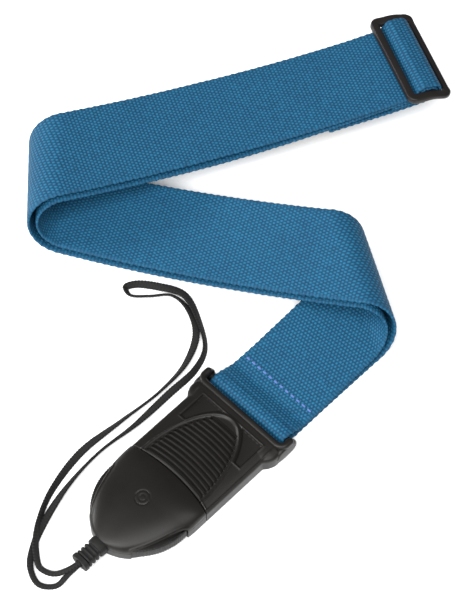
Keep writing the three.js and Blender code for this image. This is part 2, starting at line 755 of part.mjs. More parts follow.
const sliderGroup = groupIn(sliderFrame);
const barGroup = groupIn(barFrame);
const buckleGroup = groupIn({
  origin: barFrame.origin,
  along: barFrame.along.clone().negate(),
  across: barFrame.across.clone().negate(),
  up: upward,
});

// The tab's frame follows the sewn end of the tail, with +X away from the slider.
const tailEnd = tailPath.at(-1);
const sewnStart = tailPath.at(-2);
const tabFrame = {
  origin: strapPoint(sliderFrame, sewnStart, -held.offset, 0),
  along: sliderFrame.along.clone().multiplyScalar(Math.cos(tailEnd.angle))
    .addScaledVector(sliderFrame.up, Math.sin(tailEnd.angle)),
  across: sliderFrame.across.clone().negate(),
};
tabFrame.up = tabFrame.along.clone().cross(tabFrame.across);
const tabGroup = groupIn(tabFrame);

const placed = (geometry, group, x) => geometry.clone().translate(x, 0, 0).applyMatrix4(group.matrix);
const strapSolid = cut(
  webbingGeometry(),
  placed(barRow.hole, barGroup, stitchPlaces.fromBar),
  placed(hemRow.hole, sliderGroup, -stitchPlaces.fromSlider),
  placed(tabRow.hole, tabGroup, tab.sewn / 2),
);

const barThread = mesh('buckle_stitching', barRow.thread, paleThread());
barThread.position.x = stitchPlaces.fromBar;
barGroup.add(barThread);

const hemThread = mesh('hem_stitching', hemRow.thread, paleThread());
hemThread.position.x = -stitchPlaces.fromSlider;
const sliderBody = mesh('slider', sliderGeometry(), blackPlastic());
sliderBody.position.z = slider.centreHeight;
sliderBody.rotation.y = slider.tilt;
sliderGroup.add(hemThread, sliderBody);

const tabThread = mesh('tab_stitching', tabRow.thread, paleThread());
tabThread.position.x = tab.sewn / 2;
const tabSolid = cut(
  planPrism(tabOutline(), tabTop - tab.thickness, tabTop),
  tabRow.hole.clone().translate(tab.sewn / 2, 0, 0),
);
tabGroup.add(tabThread, mesh('end_tab', tabSolid, blackLeather()));

const housing = housingGeometry();
buckleGroup.add(
  mesh('buckle_strap_half', strapHalfGeometry(), blackPlastic()),
  mesh('left_prong', prongGeometry(1), blackPlastic()),
  mesh('right_prong', prongGeometry(-1), blackPlastic()),
  mesh('housing_top', housingShell(housing, true), blackPlastic()),
  mesh('housing_base', housingShell(housing, false), blackPlastic()),
  mesh('cord_boot', bootGeometry(), blackRubber()),
  mesh('cord_knot', knotGeometry(), blackLace()),
  mesh('tie_cord', cordGeometry(), blackLace()),
);

const strap = new THREE.Group();
strap.add(mesh('webbing', strapSolid, blueWebbing()), sliderGroup, barGroup, tabGroup, buckleGroup);
const extent = new THREE.Box3().setFromObject(strap, true);
const middle = extent.getCenter(new THREE.Vector3());
strap.position.set(-middle.x, -middle.y, -extent.min.z);

export default strap;
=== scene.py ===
"""Looks for the instrument strap: woven webbing, moulded slider and buckle, ribbed boot and tie cord.

Lengths in the modelling functions are millimetres; add_piece() turns them into metres.
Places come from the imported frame: the buckle lies along its joints, and the strap's path starts at the
buckle's bar and ends in the slider.
"""

import json
import math

import bmesh
import bpy
import numpy as np
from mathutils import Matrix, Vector


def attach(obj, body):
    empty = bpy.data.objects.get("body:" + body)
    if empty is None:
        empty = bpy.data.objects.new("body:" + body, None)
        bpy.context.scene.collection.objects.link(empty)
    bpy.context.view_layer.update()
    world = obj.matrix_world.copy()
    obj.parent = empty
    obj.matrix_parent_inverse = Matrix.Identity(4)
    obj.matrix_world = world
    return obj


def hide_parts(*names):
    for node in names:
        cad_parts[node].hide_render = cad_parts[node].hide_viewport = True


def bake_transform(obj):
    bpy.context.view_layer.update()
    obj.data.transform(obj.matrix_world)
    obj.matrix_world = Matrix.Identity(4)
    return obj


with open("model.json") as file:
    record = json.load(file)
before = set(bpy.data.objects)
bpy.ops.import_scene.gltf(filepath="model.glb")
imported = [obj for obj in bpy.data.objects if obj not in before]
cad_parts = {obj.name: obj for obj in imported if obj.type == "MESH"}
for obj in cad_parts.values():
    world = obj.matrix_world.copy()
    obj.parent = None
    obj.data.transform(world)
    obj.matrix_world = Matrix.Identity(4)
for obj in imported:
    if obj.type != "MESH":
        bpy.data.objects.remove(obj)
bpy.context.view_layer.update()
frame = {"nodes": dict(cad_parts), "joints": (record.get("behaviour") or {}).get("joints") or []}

MM = 0.001
DEG = math.pi / 180

# ---- driving dimensions, in millimetres

# The strap follows the CAD's path. The slider, ears and squeeze pads differ a little from their CAD solids.

WEBBING = {"width": 47.2, "thickness": 1.6, "gap": 0.4, "loose_gap": 2.6, "held_length": 26, "stagger": 0.5}
RIB = 1.75
SELVEDGE = {"round": 1.3, "start": 2.2, "notch": 0.35}
CLEARANCE = 0.3
HEADING = {"lower": 45.5 * DEG, "middle": 164 * DEG, "upper": 19.8 * DEG}
RUN = {"lower": 75.5, "middle": 146, "upper": 186}
LOWER_FOLD = {"radius": 9.7, "over": 18 * DEG, "rise": 0}
UPPER_FOLD = {"radius": 12.8, "over": 9.7 * DEG, "rise": 4.3 * DEG, "ease": 148}
BAR_RADIUS = 2.2
APPROACH = {"radius": 10, "angle": 25 * DEG}
SLIDER = {
    "centre_radius": 1.3, "centre_span": 1.7, "centre_height": 1.6, "tilt": 13.6 * DEG,
    "back": 12.9, "front": 10.6, "half_width": 28.5, "back_half": 2.1, "front_half": 1.5, "rail_half": 2.4,
    "half_height": 1.4, "back_rise": 0.35, "corner": 2.6, "hump": 1.3,
}
SLIDER_TURN = {"entry": 4, "climb": 50 * DEG, "exit": 12, "descent": 20 * DEG}
HEM_LENGTH = 20
TAB_SEWN = 20
TAIL = {"radius": 40, "bend": 2.5 * DEG, "length": 12}
CREASE = {"behind_bar": 5.4, "depth": 0.3, "width": 0.5}
STITCH = {"count": 12, "pitch": 3.6, "length": 2.2, "thread": 0.55}
STITCH_PLACES = {"from_bar": 19, "from_slider": 18}

BUCKLE = {
    "ear_inner": 25.0, "ear_outer": 28.0, "ear_back": -2.6, "ear_front": 11, "ear_height": 9.2,
    "rim_x": 6.7, "rim_z": 9.1, "rim_half": 1.7, "rim_corner": 3.6,
    "plate_start": 7, "mouth": 50.3, "mouth_radius": 88, "seam": 6, "wall": 1.8, "floor": 1.6,
}
DOME = {
    "half_width": 24.6, "taper_start": 60, "tip": 96.5, "cut": 96,
    "crest_start": 10.3, "crest": 13.8, "crest_x": 66, "crest_run": 32, "shoulder": 6.5,
}
WINDOW = {"start": 65, "end": 90.5, "share": 0.92}
RING_MARK = {"x": 69.6, "outer": 3.5, "inner": 1.6}
GRIP = {"half_width": 19.5, "length": 38, "first": 17.7, "pitch": 2.5, "count": 13, "margin": 2}
PANEL = {"back": 11.8, "front": 27, "outer": 19.3, "off_oval": 0.8, "depth": 0.9}
PRONG = {
    "hinge_x": 50.4, "hinge_y": 15, "bottom": 2, "top": 8.2, "pad_start": 65.3, "pad_end": 90.2,
    "inner_y": 12.2, "arm_width": 2.8, "ridges": 22,
}
TONGUE = {"half_width": 6, "bottom": 2.3, "top": 7.9, "end": 80}
BOOT = {"axis": 5.4, "end": 109.5, "hollow_end": 104}
KNOT = {"x": 86, "radius": 3.2}
LACE = {"half_width": 1.3, "thickness": 1.3, "spacing": 1.7, "braid": 1.5}

# Distance of a layer's middle from the doubled strap's middle surface: held together, and lying loose.
HELD = (WEBBING["thickness"] + WEBBING["gap"]) / 2
LOOSE = (WEBBING["thickness"] + WEBBING["loose_gap"]) / 2
HELD_HALF = HELD + WEBBING["thickness"] / 2
LOOSE_HALF = LOOSE + WEBBING["thickness"] / 2

# Where the strap's path passes over to its next part: distances before that part's own start.
TO_UPPER = (40, 12)
TO_SLIDER = (32, 22)

# ---- frames


class Frame:
    """A place and three directions; world() turns its own points into the part's frame."""

    def __init__(self, origin, along, across, up):
        self.origin = np.array(origin, float)
        self.axes = np.array([along, across, up], float)

    def world(self, points):
        return self.origin + np.asarray(points, float) @ self.axes


def unit(angle):
    return np.array([math.cos(angle), math.sin(angle), 0.0])


def smooth(low, high, x):
    share = np.clip((np.asarray(x, float) - low) / (high - low), 0, 1)
    return share * share * (3 - 2 * share)


def bump(distance, width):
    """Rounded ridge of height 1 whose half-width is about `width`."""
    return np.exp(-((np.asarray(distance, float) / width) ** 2))


def rounding(distance, radius):
    """How far a rounded edge has dropped below the flat, at a distance in from the edge."""
    share = np.clip(distance / radius, 0, 1)
    return radius * (1 - np.sqrt(1 - (1 - share) ** 2))


def section(count, power):
    """Points round a superellipse with half-axes of 1, and each point's share of the way round."""
    share = np.arange(count) / count
    cosine = np.cos(2 * math.pi * share)
    sine = np.sin(2 * math.pi * share)
    a = np.sign(cosine) * np.abs(cosine) ** (2 / power)
    b = np.sign(sine) * np.abs(sine) ** (2 / power)
    return a, b, share


def lengths(path):
    """Distance along a path of points, at each point."""
    return np.concatenate([[0], np.cumsum(np.linalg.norm(np.diff(path, axis=0), axis=1))])


def even(path, step):
    """The same path with points at an even spacing."""
    reach = lengths(path)
    places = np.linspace(0, reach[-1], int(reach[-1] / step) + 1)
    return np.column_stack([np.interp(places, reach, path[:, i]) for i in range(3)])


UPWARD = np.array([0.0, 0.0, 1.0])
joints = {joint["name"]: joint for joint in frame["joints"]}
bar_centre = np.array(joints["buckle_swing"]["pos_m"]) / MM
buckle_frame = Frame(
    bar_centre * (1, 1, 0), joints["housing_release"]["axis"], joints["buckle_swing"]["axis"], UPWARD,
)

# ---- pieces


def grid_faces(rows, cols, wrap=False):
    """Quads over a rows by cols grid of points, closed round the columns if `wrap`."""
    row = np.arange(rows - 1)[:, None]
    col = np.arange(cols if wrap else cols - 1)[None, :]
    after = (col + 1) % cols
    quads = np.stack([
        row * cols + col, row * cols + after, (row + 1) * cols + after, (row + 1) * cols + col,
    ], axis=-1)
    return quads.reshape(-1, 4)


def loft(sections):
    """Closed solid through loops of points; both ends are filled."""
    sections = np.asarray(sections, float)
    rows, cols, _ = sections.shape
    faces = grid_faces(rows, cols, wrap=True).tolist()
    faces.append(list(range(cols)))
    faces.append(list(range((rows - 1) * cols, rows * cols)))
    return sections.reshape(-1, 3), faces


def shell(outer, inner, keep=None):
    """Solid between two matching grids. `keep` says which quads of the grid are material."""
    rows, cols, _ = outer.shape
    quads = grid_faces(rows, cols).reshape(rows - 1, cols - 1, 4)
    if keep is None:
        keep = np.ones((rows - 1, cols - 1), bool)
    padded = np.zeros((rows + 1, cols + 1), bool)
    padded[1:-1, 1:-1] = keep
    count = rows * cols
    faces = quads[keep].tolist() + (quads[keep][:, ::-1] + count).tolist()
    # Neighbouring quad on each side, and the two corners that side lies between.
    for (dr, dc), first, second in [((-1, 0), 0, 1), ((0, 1), 1, 2), ((1, 0), 2, 3), ((0, -1), 3, 0)]:
        beside = padded[1 + dr:rows + dr, 1 + dc:cols + dc]
        edge = quads[keep & ~beside]
        a, b = edge[:, first], edge[:, second]
        faces += np.stack([b, a, a + count, b + count], axis=-1).tolist()
    return np.concatenate([outer.reshape(-1, 3), inner.reshape(-1, 3)]), faces


def add_piece(name, solid, material, body, replaces=(), weave=None, sharp=40):
    """Makes one named piece from (points in mm, faces) in the part's frame and puts it on its body."""
    points, faces = solid
    mesh = bpy.data.meshes.new(name)
    mesh.from_pydata((np.asarray(points) * MM).tolist(), [], faces)
    if weave is not None:
        layer = mesh.uv_layers.new(name="weave")
        corner = np.zeros(len(mesh.loops), np.int32)
        mesh.loops.foreach_get("vertex_index", corner)
        layer.data.foreach_set("uv", np.asarray(weave, np.float32)[corner].ravel())
    cleaner = bmesh.new()
    cleaner.from_mesh(mesh)
    loose = [v for v in cleaner.verts if not v.link_faces]
    bmesh.ops.delete(cleaner, geom=loose, context="VERTS")
    bmesh.ops.recalc_face_normals(cleaner, faces=cleaner.faces)
    cleaner.to_mesh(mesh)
    cleaner.free()
    mesh.materials.append(material)
    mesh.shade_smooth()
    mesh.set_sharp_from_angle(angle=sharp * DEG)
    piece = bpy.data.objects.new(name, mesh)
    bpy.context.scene.collection.objects.link(piece)
    if body:
        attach(piece, body)
    if replaces:
        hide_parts(*replaces)
    return piece


def add_buckle_piece(name, solid, look, body, replaces=(), weave=None, sharp=40):
    """Adds a piece whose points are in the buckle's own frame."""
    points, faces = solid
    add_piece(name, (buckle_frame.world(points), faces), looks[look], body, replaces, weave, sharp)


# ---- materials


class Look:
    """A procedural material: node() adds a node, wires its inputs and returns it."""

    def __init__(self, name, **settings):
        self.material = bpy.data.materials.new(name)
        self.material.use_nodes = True
        self.tree = self.material.node_tree
        self.shader = self.tree.nodes["Principled BSDF"]
        for key, value in settings.items():
            self.wire(self.shader, key.replace("_", " ").title().replace("Ior", "IOR"), value)

    def wire(self, node, key, value):
        socket = node.inputs[key]
        if isinstance(value, bpy.types.NodeSocket):
            self.tree.links.new(value, socket)
        elif isinstance(value, (tuple, list)) and len(value) == 3 and socket.type == "RGBA":
            socket.default_value = (*value, 1)
        else:
            socket.default_value = value

    def node(self, kind, inputs=None, **settings):
        node = self.tree.nodes.new("ShaderNode" + kind)
        for key, value in settings.items():
            setattr(node, key, value)
        for key, value in (inputs or {}).items():
            self.wire(node, key, value)
        return node

    def math(self, operation, *values):
        return self.node("Math", dict(enumerate(values)), operation=operation).outputs[0]

    def between(self, factor, low, high):
        """Colour between two colours."""
        mix = self.node("Mix", data_type="RGBA")
        self.wire(mix, 0, factor)
        self.wire(mix, 6, low)
        self.wire(mix, 7, high)
        return mix.outputs[2]

    def ramp(self, factor, low, high):
        """Smooth 0 to 1 as the factor goes from low to high."""
        inputs = {"Value": factor, "From Min": low, "From Max": high}
        return self.node("MapRange", inputs, interpolation_type="SMOOTHSTEP").outputs[0]

    def noise(self, scale, detail=2.0, place=None):
        inputs = {"Scale": scale, "Detail": detail}
        if place is not None:
            inputs["Vector"] = place
        return self.node("TexNoise", inputs).outputs[0]

    def place(self):
        """Position in the piece's own coordinates, in metres."""
        return self.node("TexCoord").outputs["Object"]

    def weave(self):
        """The two coordinates stored with the mesh, in millimetres."""
        both = self.node("SeparateXYZ", {0: self.node("UVMap", uv_map="weave").outputs[0]})
        return both.outputs[0], both.outputs[1]

    def colour(self, value):
        self.wire(self.shader, "Base Color", value)

    def roughness(self, value):
        self.wire(self.shader, "Roughness", value)

    def relief(self, height, strength, distance):
        node = self.node("Bump", {"Height": height, "Strength": strength, "Distance": distance})
        self.wire(self.shader, "Normal", node.outputs[0])


def webbing_look():
    """Twill: rows of small knots, each row half a step on from the last, and plain ribs at the selvedge."""
    look = Look("blue_webbing", specular_ior_level=0.25)
    combine = look.math
    along, across = look.weave()
    row = combine("DIVIDE", along, RIB)
    rib = combine("ABSOLUTE", combine("SINE", combine("MULTIPLY", row, math.pi)))
    odd = combine("MODULO", combine("ABSOLUTE", combine("FLOOR", row)), 2.0)
    column = combine("ADD", combine("DIVIDE", across, RIB), combine("MULTIPLY", odd, 0.5))
    wave = combine("COSINE", combine("MULTIPLY", column, 2 * math.pi))
    dot = combine("MULTIPLY_ADD", wave, 0.5, 0.5)
    half = WEBBING["width"] / 2
    edge = look.ramp(combine("ABSOLUTE", across), half - 3.1, half - 0.8)
    yarn = combine("MULTIPLY", rib, combine("MULTIPLY_ADD", edge, combine("SUBTRACT", 0.45, dot), dot))
    place = look.place()
    grain = look.noise(650, 3, place)
    drift = look.noise(45, 2, place)
    tone = combine("ADD", yarn, combine("MULTIPLY", combine("SUBTRACT", grain, 0.5), 1.1))
    dark = look.between(drift, (0.0014, 0.034, 0.078), (0.0020, 0.043, 0.093))
    light = look.between(drift, (0.0070, 0.095, 0.190), (0.0110, 0.122, 0.228))
    look.colour(look.between(look.ramp(tone, 0.0, 0.95), dark, light))
    look.roughness(combine("MULTIPLY_ADD", grain, 0.2, 0.62))
    look.relief(combine("ADD", yarn, combine("MULTIPLY", grain, 0.4)), 0.55, 0.00035)
    return look.material


def thread_look():
    look = Look("pale_thread", roughness=0.6, specular_ior_level=0.3)
    twist = {"Vector": look.place(), "Scale": 900.0, "Distortion": 2.0}
    ply = look.node("TexWave", twist, bands_direction="DIAGONAL").outputs[1]
    look.colour(look.between(ply, (0.045, 0.09, 0.24), (0.10, 0.17, 0.42)))
    look.relief(ply, 0.5, 0.0001)
    return look.material


def mottled_look(name, specular, scale, detail, dark, light, roughness, spread):
    """Look whose colour and roughness drift with one slow noise. Also returns the place and the noise."""
    look = Look(name, specular_ior_level=specular)
    place = look.place()
    drift = look.noise(scale, detail, place)
    look.colour(look.between(drift, dark, light))
    look.roughness(look.math("MULTIPLY_ADD", drift, spread, roughness))
    return look, place, drift


def plastic_look(name, base, roughness):
    """Moulded plastic: fine spark-eroded grain and slight flow marks."""
    lighter = tuple(1.5 * c for c in base)
    look, place, flow = mottled_look(name, 0.24, 60, 3, base, lighter, roughness - 0.08, 0.16)
    grain = look.noise(2600, 2, place)
    look.relief(look.math("ADD", grain, look.math("MULTIPLY", flow, 0.3)), 0.12, 0.00006)
    return look.material


def rubber_look():
    colours = (0.0045, 0.0044, 0.0042), (0.011, 0.0105, 0.010)
    look, place, _ = mottled_look("boot_rubber", 0.22, 180, 4, *colours, 0.5, 0.2)
    look.relief(look.noise(1800, 2, place), 0.15, 0.0001)
    return look.material


def leather_look():
    colours = (0.012, 0.010, 0.009), (0.032, 0.027, 0.023)
    look, place, _ = mottled_look("tab_leather", 0.4, 90, 4, *colours, 0.4, 0.25)
    cells = {"Vector": place, "Scale": 1100.0}
    pores = look.node("TexVoronoi", cells, feature="DISTANCE_TO_EDGE").outputs[0]
    look.relief(look.ramp(pores, 0.0, 0.25), 0.35, 0.0002)
    return look.material


def lace_look():
    look = Look("braided_lace", specular_ior_level=0.12)
    combine = look.math
    along, around = look.weave()
    steep = combine("MULTIPLY", along, 2 * math.pi / LACE["braid"])
    turn = combine("MULTIPLY", around, 2 * math.pi)
    one = combine("SINE", combine("ADD", steep, turn))
    two = combine("SINE", combine("SUBTRACT", steep, turn))
    braid = combine("MULTIPLY_ADD", combine("MAXIMUM", one, two), 0.5, 0.5)
    fuzz = look.noise(1500, 2, look.place())
    tone = combine("MULTIPLY", braid, combine("MULTIPLY_ADD", fuzz, 0.8, 0.5))
    look.colour(look.between(look.ramp(tone, 0.1, 1.0), (0.0025, 0.0025, 0.003), (0.017, 0.0165, 0.016)))
    look.roughness(0.7)
    look.relief(braid, 0.5, 0.0002)
    return look.material


looks = {
    "webbing": webbing_look(),
    "thread": thread_look(),
    "plastic": plastic_look("buckle_plastic", (0.0060, 0.0054, 0.0048), 0.40),
    "slider": plastic_look("slider_plastic", (0.0095, 0.0078, 0.0078), 0.42),
    "pad": plastic_look("pad_plastic", (0.0055, 0.0050, 0.0046), 0.52),
    "rubber": rubber_look(),
    "lace": lace_look(),
    "leather": leather_look(),
}

# ---- the webbing's path


def walk(start, legs):
    """Straight and curved legs in a vertical plane. Returns reach, n, z and angle as arrays."""
    finest = 1.0 * DEG
    reach, n, z, angle = 0.0, *start
    path = [(reach, n, z, angle)]
    for length, turn in legs:
        steps = max(1, math.ceil(abs(turn) / finest))
        step_turn, part = turn / steps, length / steps
        chord = part if turn == 0 else part * math.sin(step_turn / 2) / (step_turn / 2)
        for _ in range(steps):
            n += chord * math.cos(angle + step_turn / 2)
            z += chord * math.sin(angle + step_turn / 2)
            angle += step_turn
            reach += part
            path.append((reach, n, z, angle))
    return np.array(path).T


def straight(length):
    return (length, 0)


def arc(radius, turn):
    return (abs(radius * turn), turn)


class Ruled:
    """Strap surface ruled along `across`, following a path; `skew` is its angle from square."""

    def __init__(self, place, skew, path, start=0.0):
        self.place = place
        self.skew = skew
        self.path = path
        self.start = start

    def at(self, reach):
        """n, z and angle at a reach, carried on straight before the start and after the end."""
        known, n, z, angle = self.path
        inside = np.clip(reach, known[0], known[-1])
        beyond = reach - inside
        turn = np.interp(inside, known, angle)
        n = np.interp(inside, known, n) + beyond * np.cos(turn)
        z = np.interp(inside, known, z) + beyond * np.sin(turn)
        return n, z, turn

    def point(self, centre, w, side, proud, offset=HELD, shift=0.0):
        """Point at `centre` along the strap's middle line and `w` across it, `proud` of the layer's middle.

        The layer lies `offset` to its side of the middle surface and `shift` across from its twin.
        """
        reach = (centre - self.start - w * math.tan(self.skew)) * math.cos(self.skew)
        n, z, angle = self.at(reach)
        off = side * (offset + proud) if side else proud
        across = w - side * shift * np.cos(angle)
        v = reach * math.tan(self.skew) + across / math.cos(self.skew)
        local = np.stack([n + off * np.sin(angle), v, z - off * np.cos(angle)], axis=-1)
        return self.place.world(local)

    def middle(self, centre):
        """Point on the strap's middle line."""
        return self.point(np.array([centre]), np.array([0.0]), 0, 0)[0]


def fold(fold_size, ease):
    turn = math.pi + fold_size["over"]
    legs = [arc(fold_size["radius"], turn), (ease, -(fold_size["over"] + fold_size["rise"]))]
    return walk((0, LOOSE_HALF, 0), legs)


def fold_frame(origin, heading_in, heading_out, sideways):
    across = unit((heading_in + heading_out) / 2)
    along = unit((heading_in + heading_out) / 2 + sideways)
    return Frame(origin, along, across, UPWARD), math.asin(unit(heading_in) @ across)


def lower_ruled():
    origin = bar_centre * (1, 1, 0) + RUN["lower"] * unit(HEADING["lower"])
    place, skew = fold_frame(origin, HEADING["lower"], HEADING["middle"], -math.pi / 2)
    over = LOWER_FOLD["over"]
    drop = LOWER_FOLD["radius"] * (1 + math.cos(over))
    ease = drop * over / (1 - math.cos(over))
    return Ruled(place, skew, fold(LOWER_FOLD, ease), RUN["lower"]), ease


def upper_ruled(lower, lower_ease):
    reach = lower.path[0][-1]
    fold_end = lower.start + reach / math.cos(lower.skew)
    left = RUN["middle"] - lower_ease / math.cos(lower.skew)
    origin = lower.middle(fold_end) * (1, 1, 0) + left * unit(HEADING["middle"])
    place, skew = fold_frame(origin, HEADING["middle"], HEADING["upper"], math.pi / 2)
    return Ruled(place, skew, fold(UPPER_FOLD, UPPER_FOLD["ease"]), fold_end + left)


def slider_legs():
    """Up through the slider, over its tilted centre bar and back underneath."""
    tilt, span, radius = SLIDER["tilt"], SLIDER["centre_span"], SLIDER["centre_radius"]
    loop = radius + CLEARANCE + WEBBING["thickness"] + WEBBING["gap"] / 2
    edge_x = -span * math.cos(tilt)
    edge_z = SLIDER["centre_height"] + span * math.sin(tilt)
    climb, entry = SLIDER_TURN["climb"], SLIDER_TURN["entry"]
    rise = edge_z + loop * math.cos(climb) - entry * (1 - math.cos(climb))
    entry_x = edge_x - loop * math.sin(climb) - rise / math.tan(climb) - entry * math.sin(climb)
    return [
        straight(WEBBING["held_length"] + entry_x),
        arc(entry, climb),
        straight(rise / math.sin(climb)),
        arc(loop, -(climb + tilt)),
        straight(2 * span),
        arc(loop, tilt + SLIDER_TURN["descent"] - math.pi),
    ]


def slider_ruled(upper):
    ramp = RUN["upper"] * math.cos(upper.skew) - UPPER_FOLD["ease"]
    end_reach = upper.path[0][-1] + ramp
    angle = float(upper.at(end_reach)[2])
    along, across, _ = upper.place.axes
    ahead = along * math.cos(angle) + UPWARD * math.sin(angle)
    normal = along * math.sin(angle) - UPWARD * math.cos(angle)
    skew = upper.skew
    centre = upper.start + end_reach / math.cos(skew)
    place = Frame(
        upper.middle(centre),
        ahead * math.cos(skew) + across * math.sin(skew),
        across * math.cos(skew) - ahead * math.sin(skew),
        normal,
    )
    legs = slider_legs()
    return_level = -(2 * HELD_HALF + WEBBING["gap"])
    descent, exit_radius = SLIDER_TURN["descent"], SLIDER_TURN["exit"]
    start = (-WEBBING["held_length"], 0, 0)
    loop_end = walk(start, legs)[2][-1]
    slope = (loop_end - exit_radius * (1 - math.cos(descent)) - return_level) / math.sin(descent)
    legs += [straight(slope), arc(exit_radius, -descent)]
    there = walk(start, legs)
    back = HEM_LENGTH + there[1][-1]
    hem_reach = there[0][-1] + back
    # The tail goes on below the hem, close under the strap, to the tab.
    legs += [straight(back), arc(TAIL["radius"], -TAIL["bend"]), straight(TAIL["length"] + TAB_SEWN)]
    return Ruled(place, 0.0, walk(start, legs), centre - WEBBING["held_length"]), centre, hem_reach


def bar_ruled():
    """Round the buckle's end bar: the upper layer climbs over it and comes back as the lower one."""
    half = WEBBING["thickness"] / 2
    wrap = BAR_RADIUS + CLEARANCE + half
    radius, angle = APPROACH["radius"], APPROACH["angle"]
    rise = half + wrap + wrap - HELD_HALF - HELD
    slope = (rise - 2 * radius * (1 - math.cos(angle))) / math.sin(angle)
    length = 2 * radius * math.sin(angle) + slope * math.cos(angle)
    held = WEBBING["held_length"]
    path = walk((held, HELD_HALF + HELD, math.pi), [
        straight(held - length), arc(radius, -angle), straight(slope), arc(radius, angle),
        arc(wrap, math.pi), straight(held),
    ])
    along = unit(HEADING["lower"])
    place = Frame(bar_centre * (1, 1, 0), along, unit(HEADING["lower"] + math.pi / 2), UPWARD)
    return Ruled(place, 0.0, path)


lower, lower_ease = lower_ruled()
upper = upper_ruled(lower, lower_ease)
slider_part, slider_centre, hem_reach = slider_ruled(upper)
bar_part = bar_ruled()


def opened(centre):
    """How far the strap's two layers have parted, from 0 when held to 1 when lying loose."""
    held = WEBBING["held_length"]
    ease_middle = upper.start + (upper.path[0][-1] - UPPER_FOLD["ease"] / 2) / math.cos(upper.skew)
    opening = np.clip((centre - held) / (RUN["lower"] - held), 0, 1)
    closing = np.clip((centre - ease_middle) / (slider_centre - held - ease_middle), 0, 1)
    return opening * (1 - closing)


def strap_surface(u, w, proud):
    """Webbing at `u` along the one long strip: the upper layer at the buckle has u below 0."""
    bar_length = bar_part.path[0][-1]
    on_bar = (u >= 0) & (u <= bar_length)
    second = u > bar_length
    centre = np.where(second, u - bar_length, -u) + WEBBING["held_length"]
    points = np.zeros(u.shape + (3,))
    for layer, sides in ((~second & ~on_bar, (-1, 1, -1)), (second, (1, -1, 1))):
        if not layer.any():
            continue
        c, v, p = centre[layer], w[layer], proud[layer]
        parted = opened(c)
        offset, shift = HELD + (LOOSE - HELD) * parted, WEBBING["stagger"] * parted
        on_lower = lower.point(c, v, sides[0], p, offset, shift)
        on_lower[:, 2] -= np.where(c < RUN["lower"], LOOSE - offset, 0)
        on_upper = upper.point(c, v, sides[1], p, offset, shift)
        on_slider = slider_part.point(c, v, sides[2], p)
        to_upper = smooth(upper.start - TO_UPPER[0], upper.start - TO_UPPER[1], c)[:, None]
        to_slider = smooth(slider_centre - TO_SLIDER[0], slider_centre - TO_SLIDER[1], c)[:, None]
        mixed = on_lower * (1 - to_upper) + on_upper * to_upper
        points[layer] = mixed * (1 - to_slider) + on_slider * to_slider
    if on_bar.any():
        points[on_bar] = bar_part.point(u[on_bar], w[on_bar], 0, proud[on_bar])
    return points


def webbing_piece():
    bar_length = bar_part.path[0][-1]
    first = -(slider_part.start + slider_part.path[0][-1] - WEBBING["held_length"])
    last = bar_length + slider_part.start + hem_reach - WEBBING["held_length"]
    rows = int((last - first) / (RIB / 4))
    u = np.linspace(first, last, rows)
    half = WEBBING["width"] / 2
    ends = half - SELVEDGE["round"] * np.linspace(0, 1, 6) ** 2
    inner = np.linspace(half - SELVEDGE["start"], SELVEDGE["start"] - half, 45)
    top = np.concatenate([ends, inner, -ends[::-1]])
    w = np.concatenate([top, top[::-1][1:-1]])
    face = np.concatenate([np.ones(len(top)), -np.ones(len(top) - 2)])
    face[0] = face[len(top) - 1] = 0
    grid_u, grid_w = np.meshgrid(u, w, indexing="ij")
    notch = SELVEDGE["notch"] * (0.5 + 0.5 * np.cos(math.pi * grid_u / RIB))
    rib = np.abs(np.sin(math.pi * grid_u / RIB))
    from_edge = half - np.abs(grid_w)
    thickness = WEBBING["thickness"] / 2 * (1 - rounding(from_edge, SELVEDGE["round"]) / SELVEDGE["round"])
    proud = face * (thickness - 0.13 * (1 - rib) * smooth(0, 0.8, from_edge))
    narrow = grid_w - np.sign(grid_w) * notch * smooth(half - SELVEDGE["start"], half, np.abs(grid_w))
    points = strap_surface(grid_u, narrow, proud)
    points[..., 2] -= crease_depth(points, grid_u, face)
    weave = np.stack([grid_u, grid_w], axis=-1).reshape(-1, 2)
    add_piece("woven_strap", loft(points), looks["webbing"], "strap", ["webbing"], weave, 60)


def crease_depth(points, u, face):
    """Shallow pressed line parallel to the bar, where the wrap leaves it."""
    behind = -(points - buckle_frame.origin) @ buckle_frame.axes[0]
    near = (u >= 0) & (u <= WEBBING["held_length"])
    depth = CREASE["depth"] * bump(behind - CREASE["behind_bar"], CREASE["width"])
    return np.where(near & (face > 0), depth, 0)


# ---- sweeps and stitches


def tube(path, half_wide, half_thick, up_hint, count, power=2.0, twist=0, ring=False):
    """Sweep of a rounded section along a path, or round a ring, and the coordinates along and round it."""
    path = np.asarray(path, float)
    ahead = np.gradient(path, axis=0)
    ahead /= np.linalg.norm(ahead, axis=1)[:, None]
    level = np.cross(up_hint, ahead)
    level /= np.linalg.norm(level, axis=1)[:, None]
    upright = np.cross(ahead, level)
    turn = np.reshape(twist, (-1, 1))
    wide = (level * np.cos(turn) + upright * np.sin(turn)) * np.reshape(half_wide, (-1, 1))
    thick = (upright * np.cos(turn) - level * np.sin(turn)) * np.reshape(half_thick, (-1, 1))
    a, b, share = section(count, power)
    rings = path[:, None] + a[:, None] * wide[:, None] + b[:, None] * thick[:, None]
    weave = np.stack(np.meshgrid(lengths(path), share, indexing="ij"), axis=-1).reshape(-1, 2)
    if ring:
        faces = grid_faces(len(path) + 1, count, wrap=True) % (len(path) * count)
        return (rings.reshape(-1, 3), faces.tolist()), weave
    return loft(rings), weave


CORNER_POINTS = 10


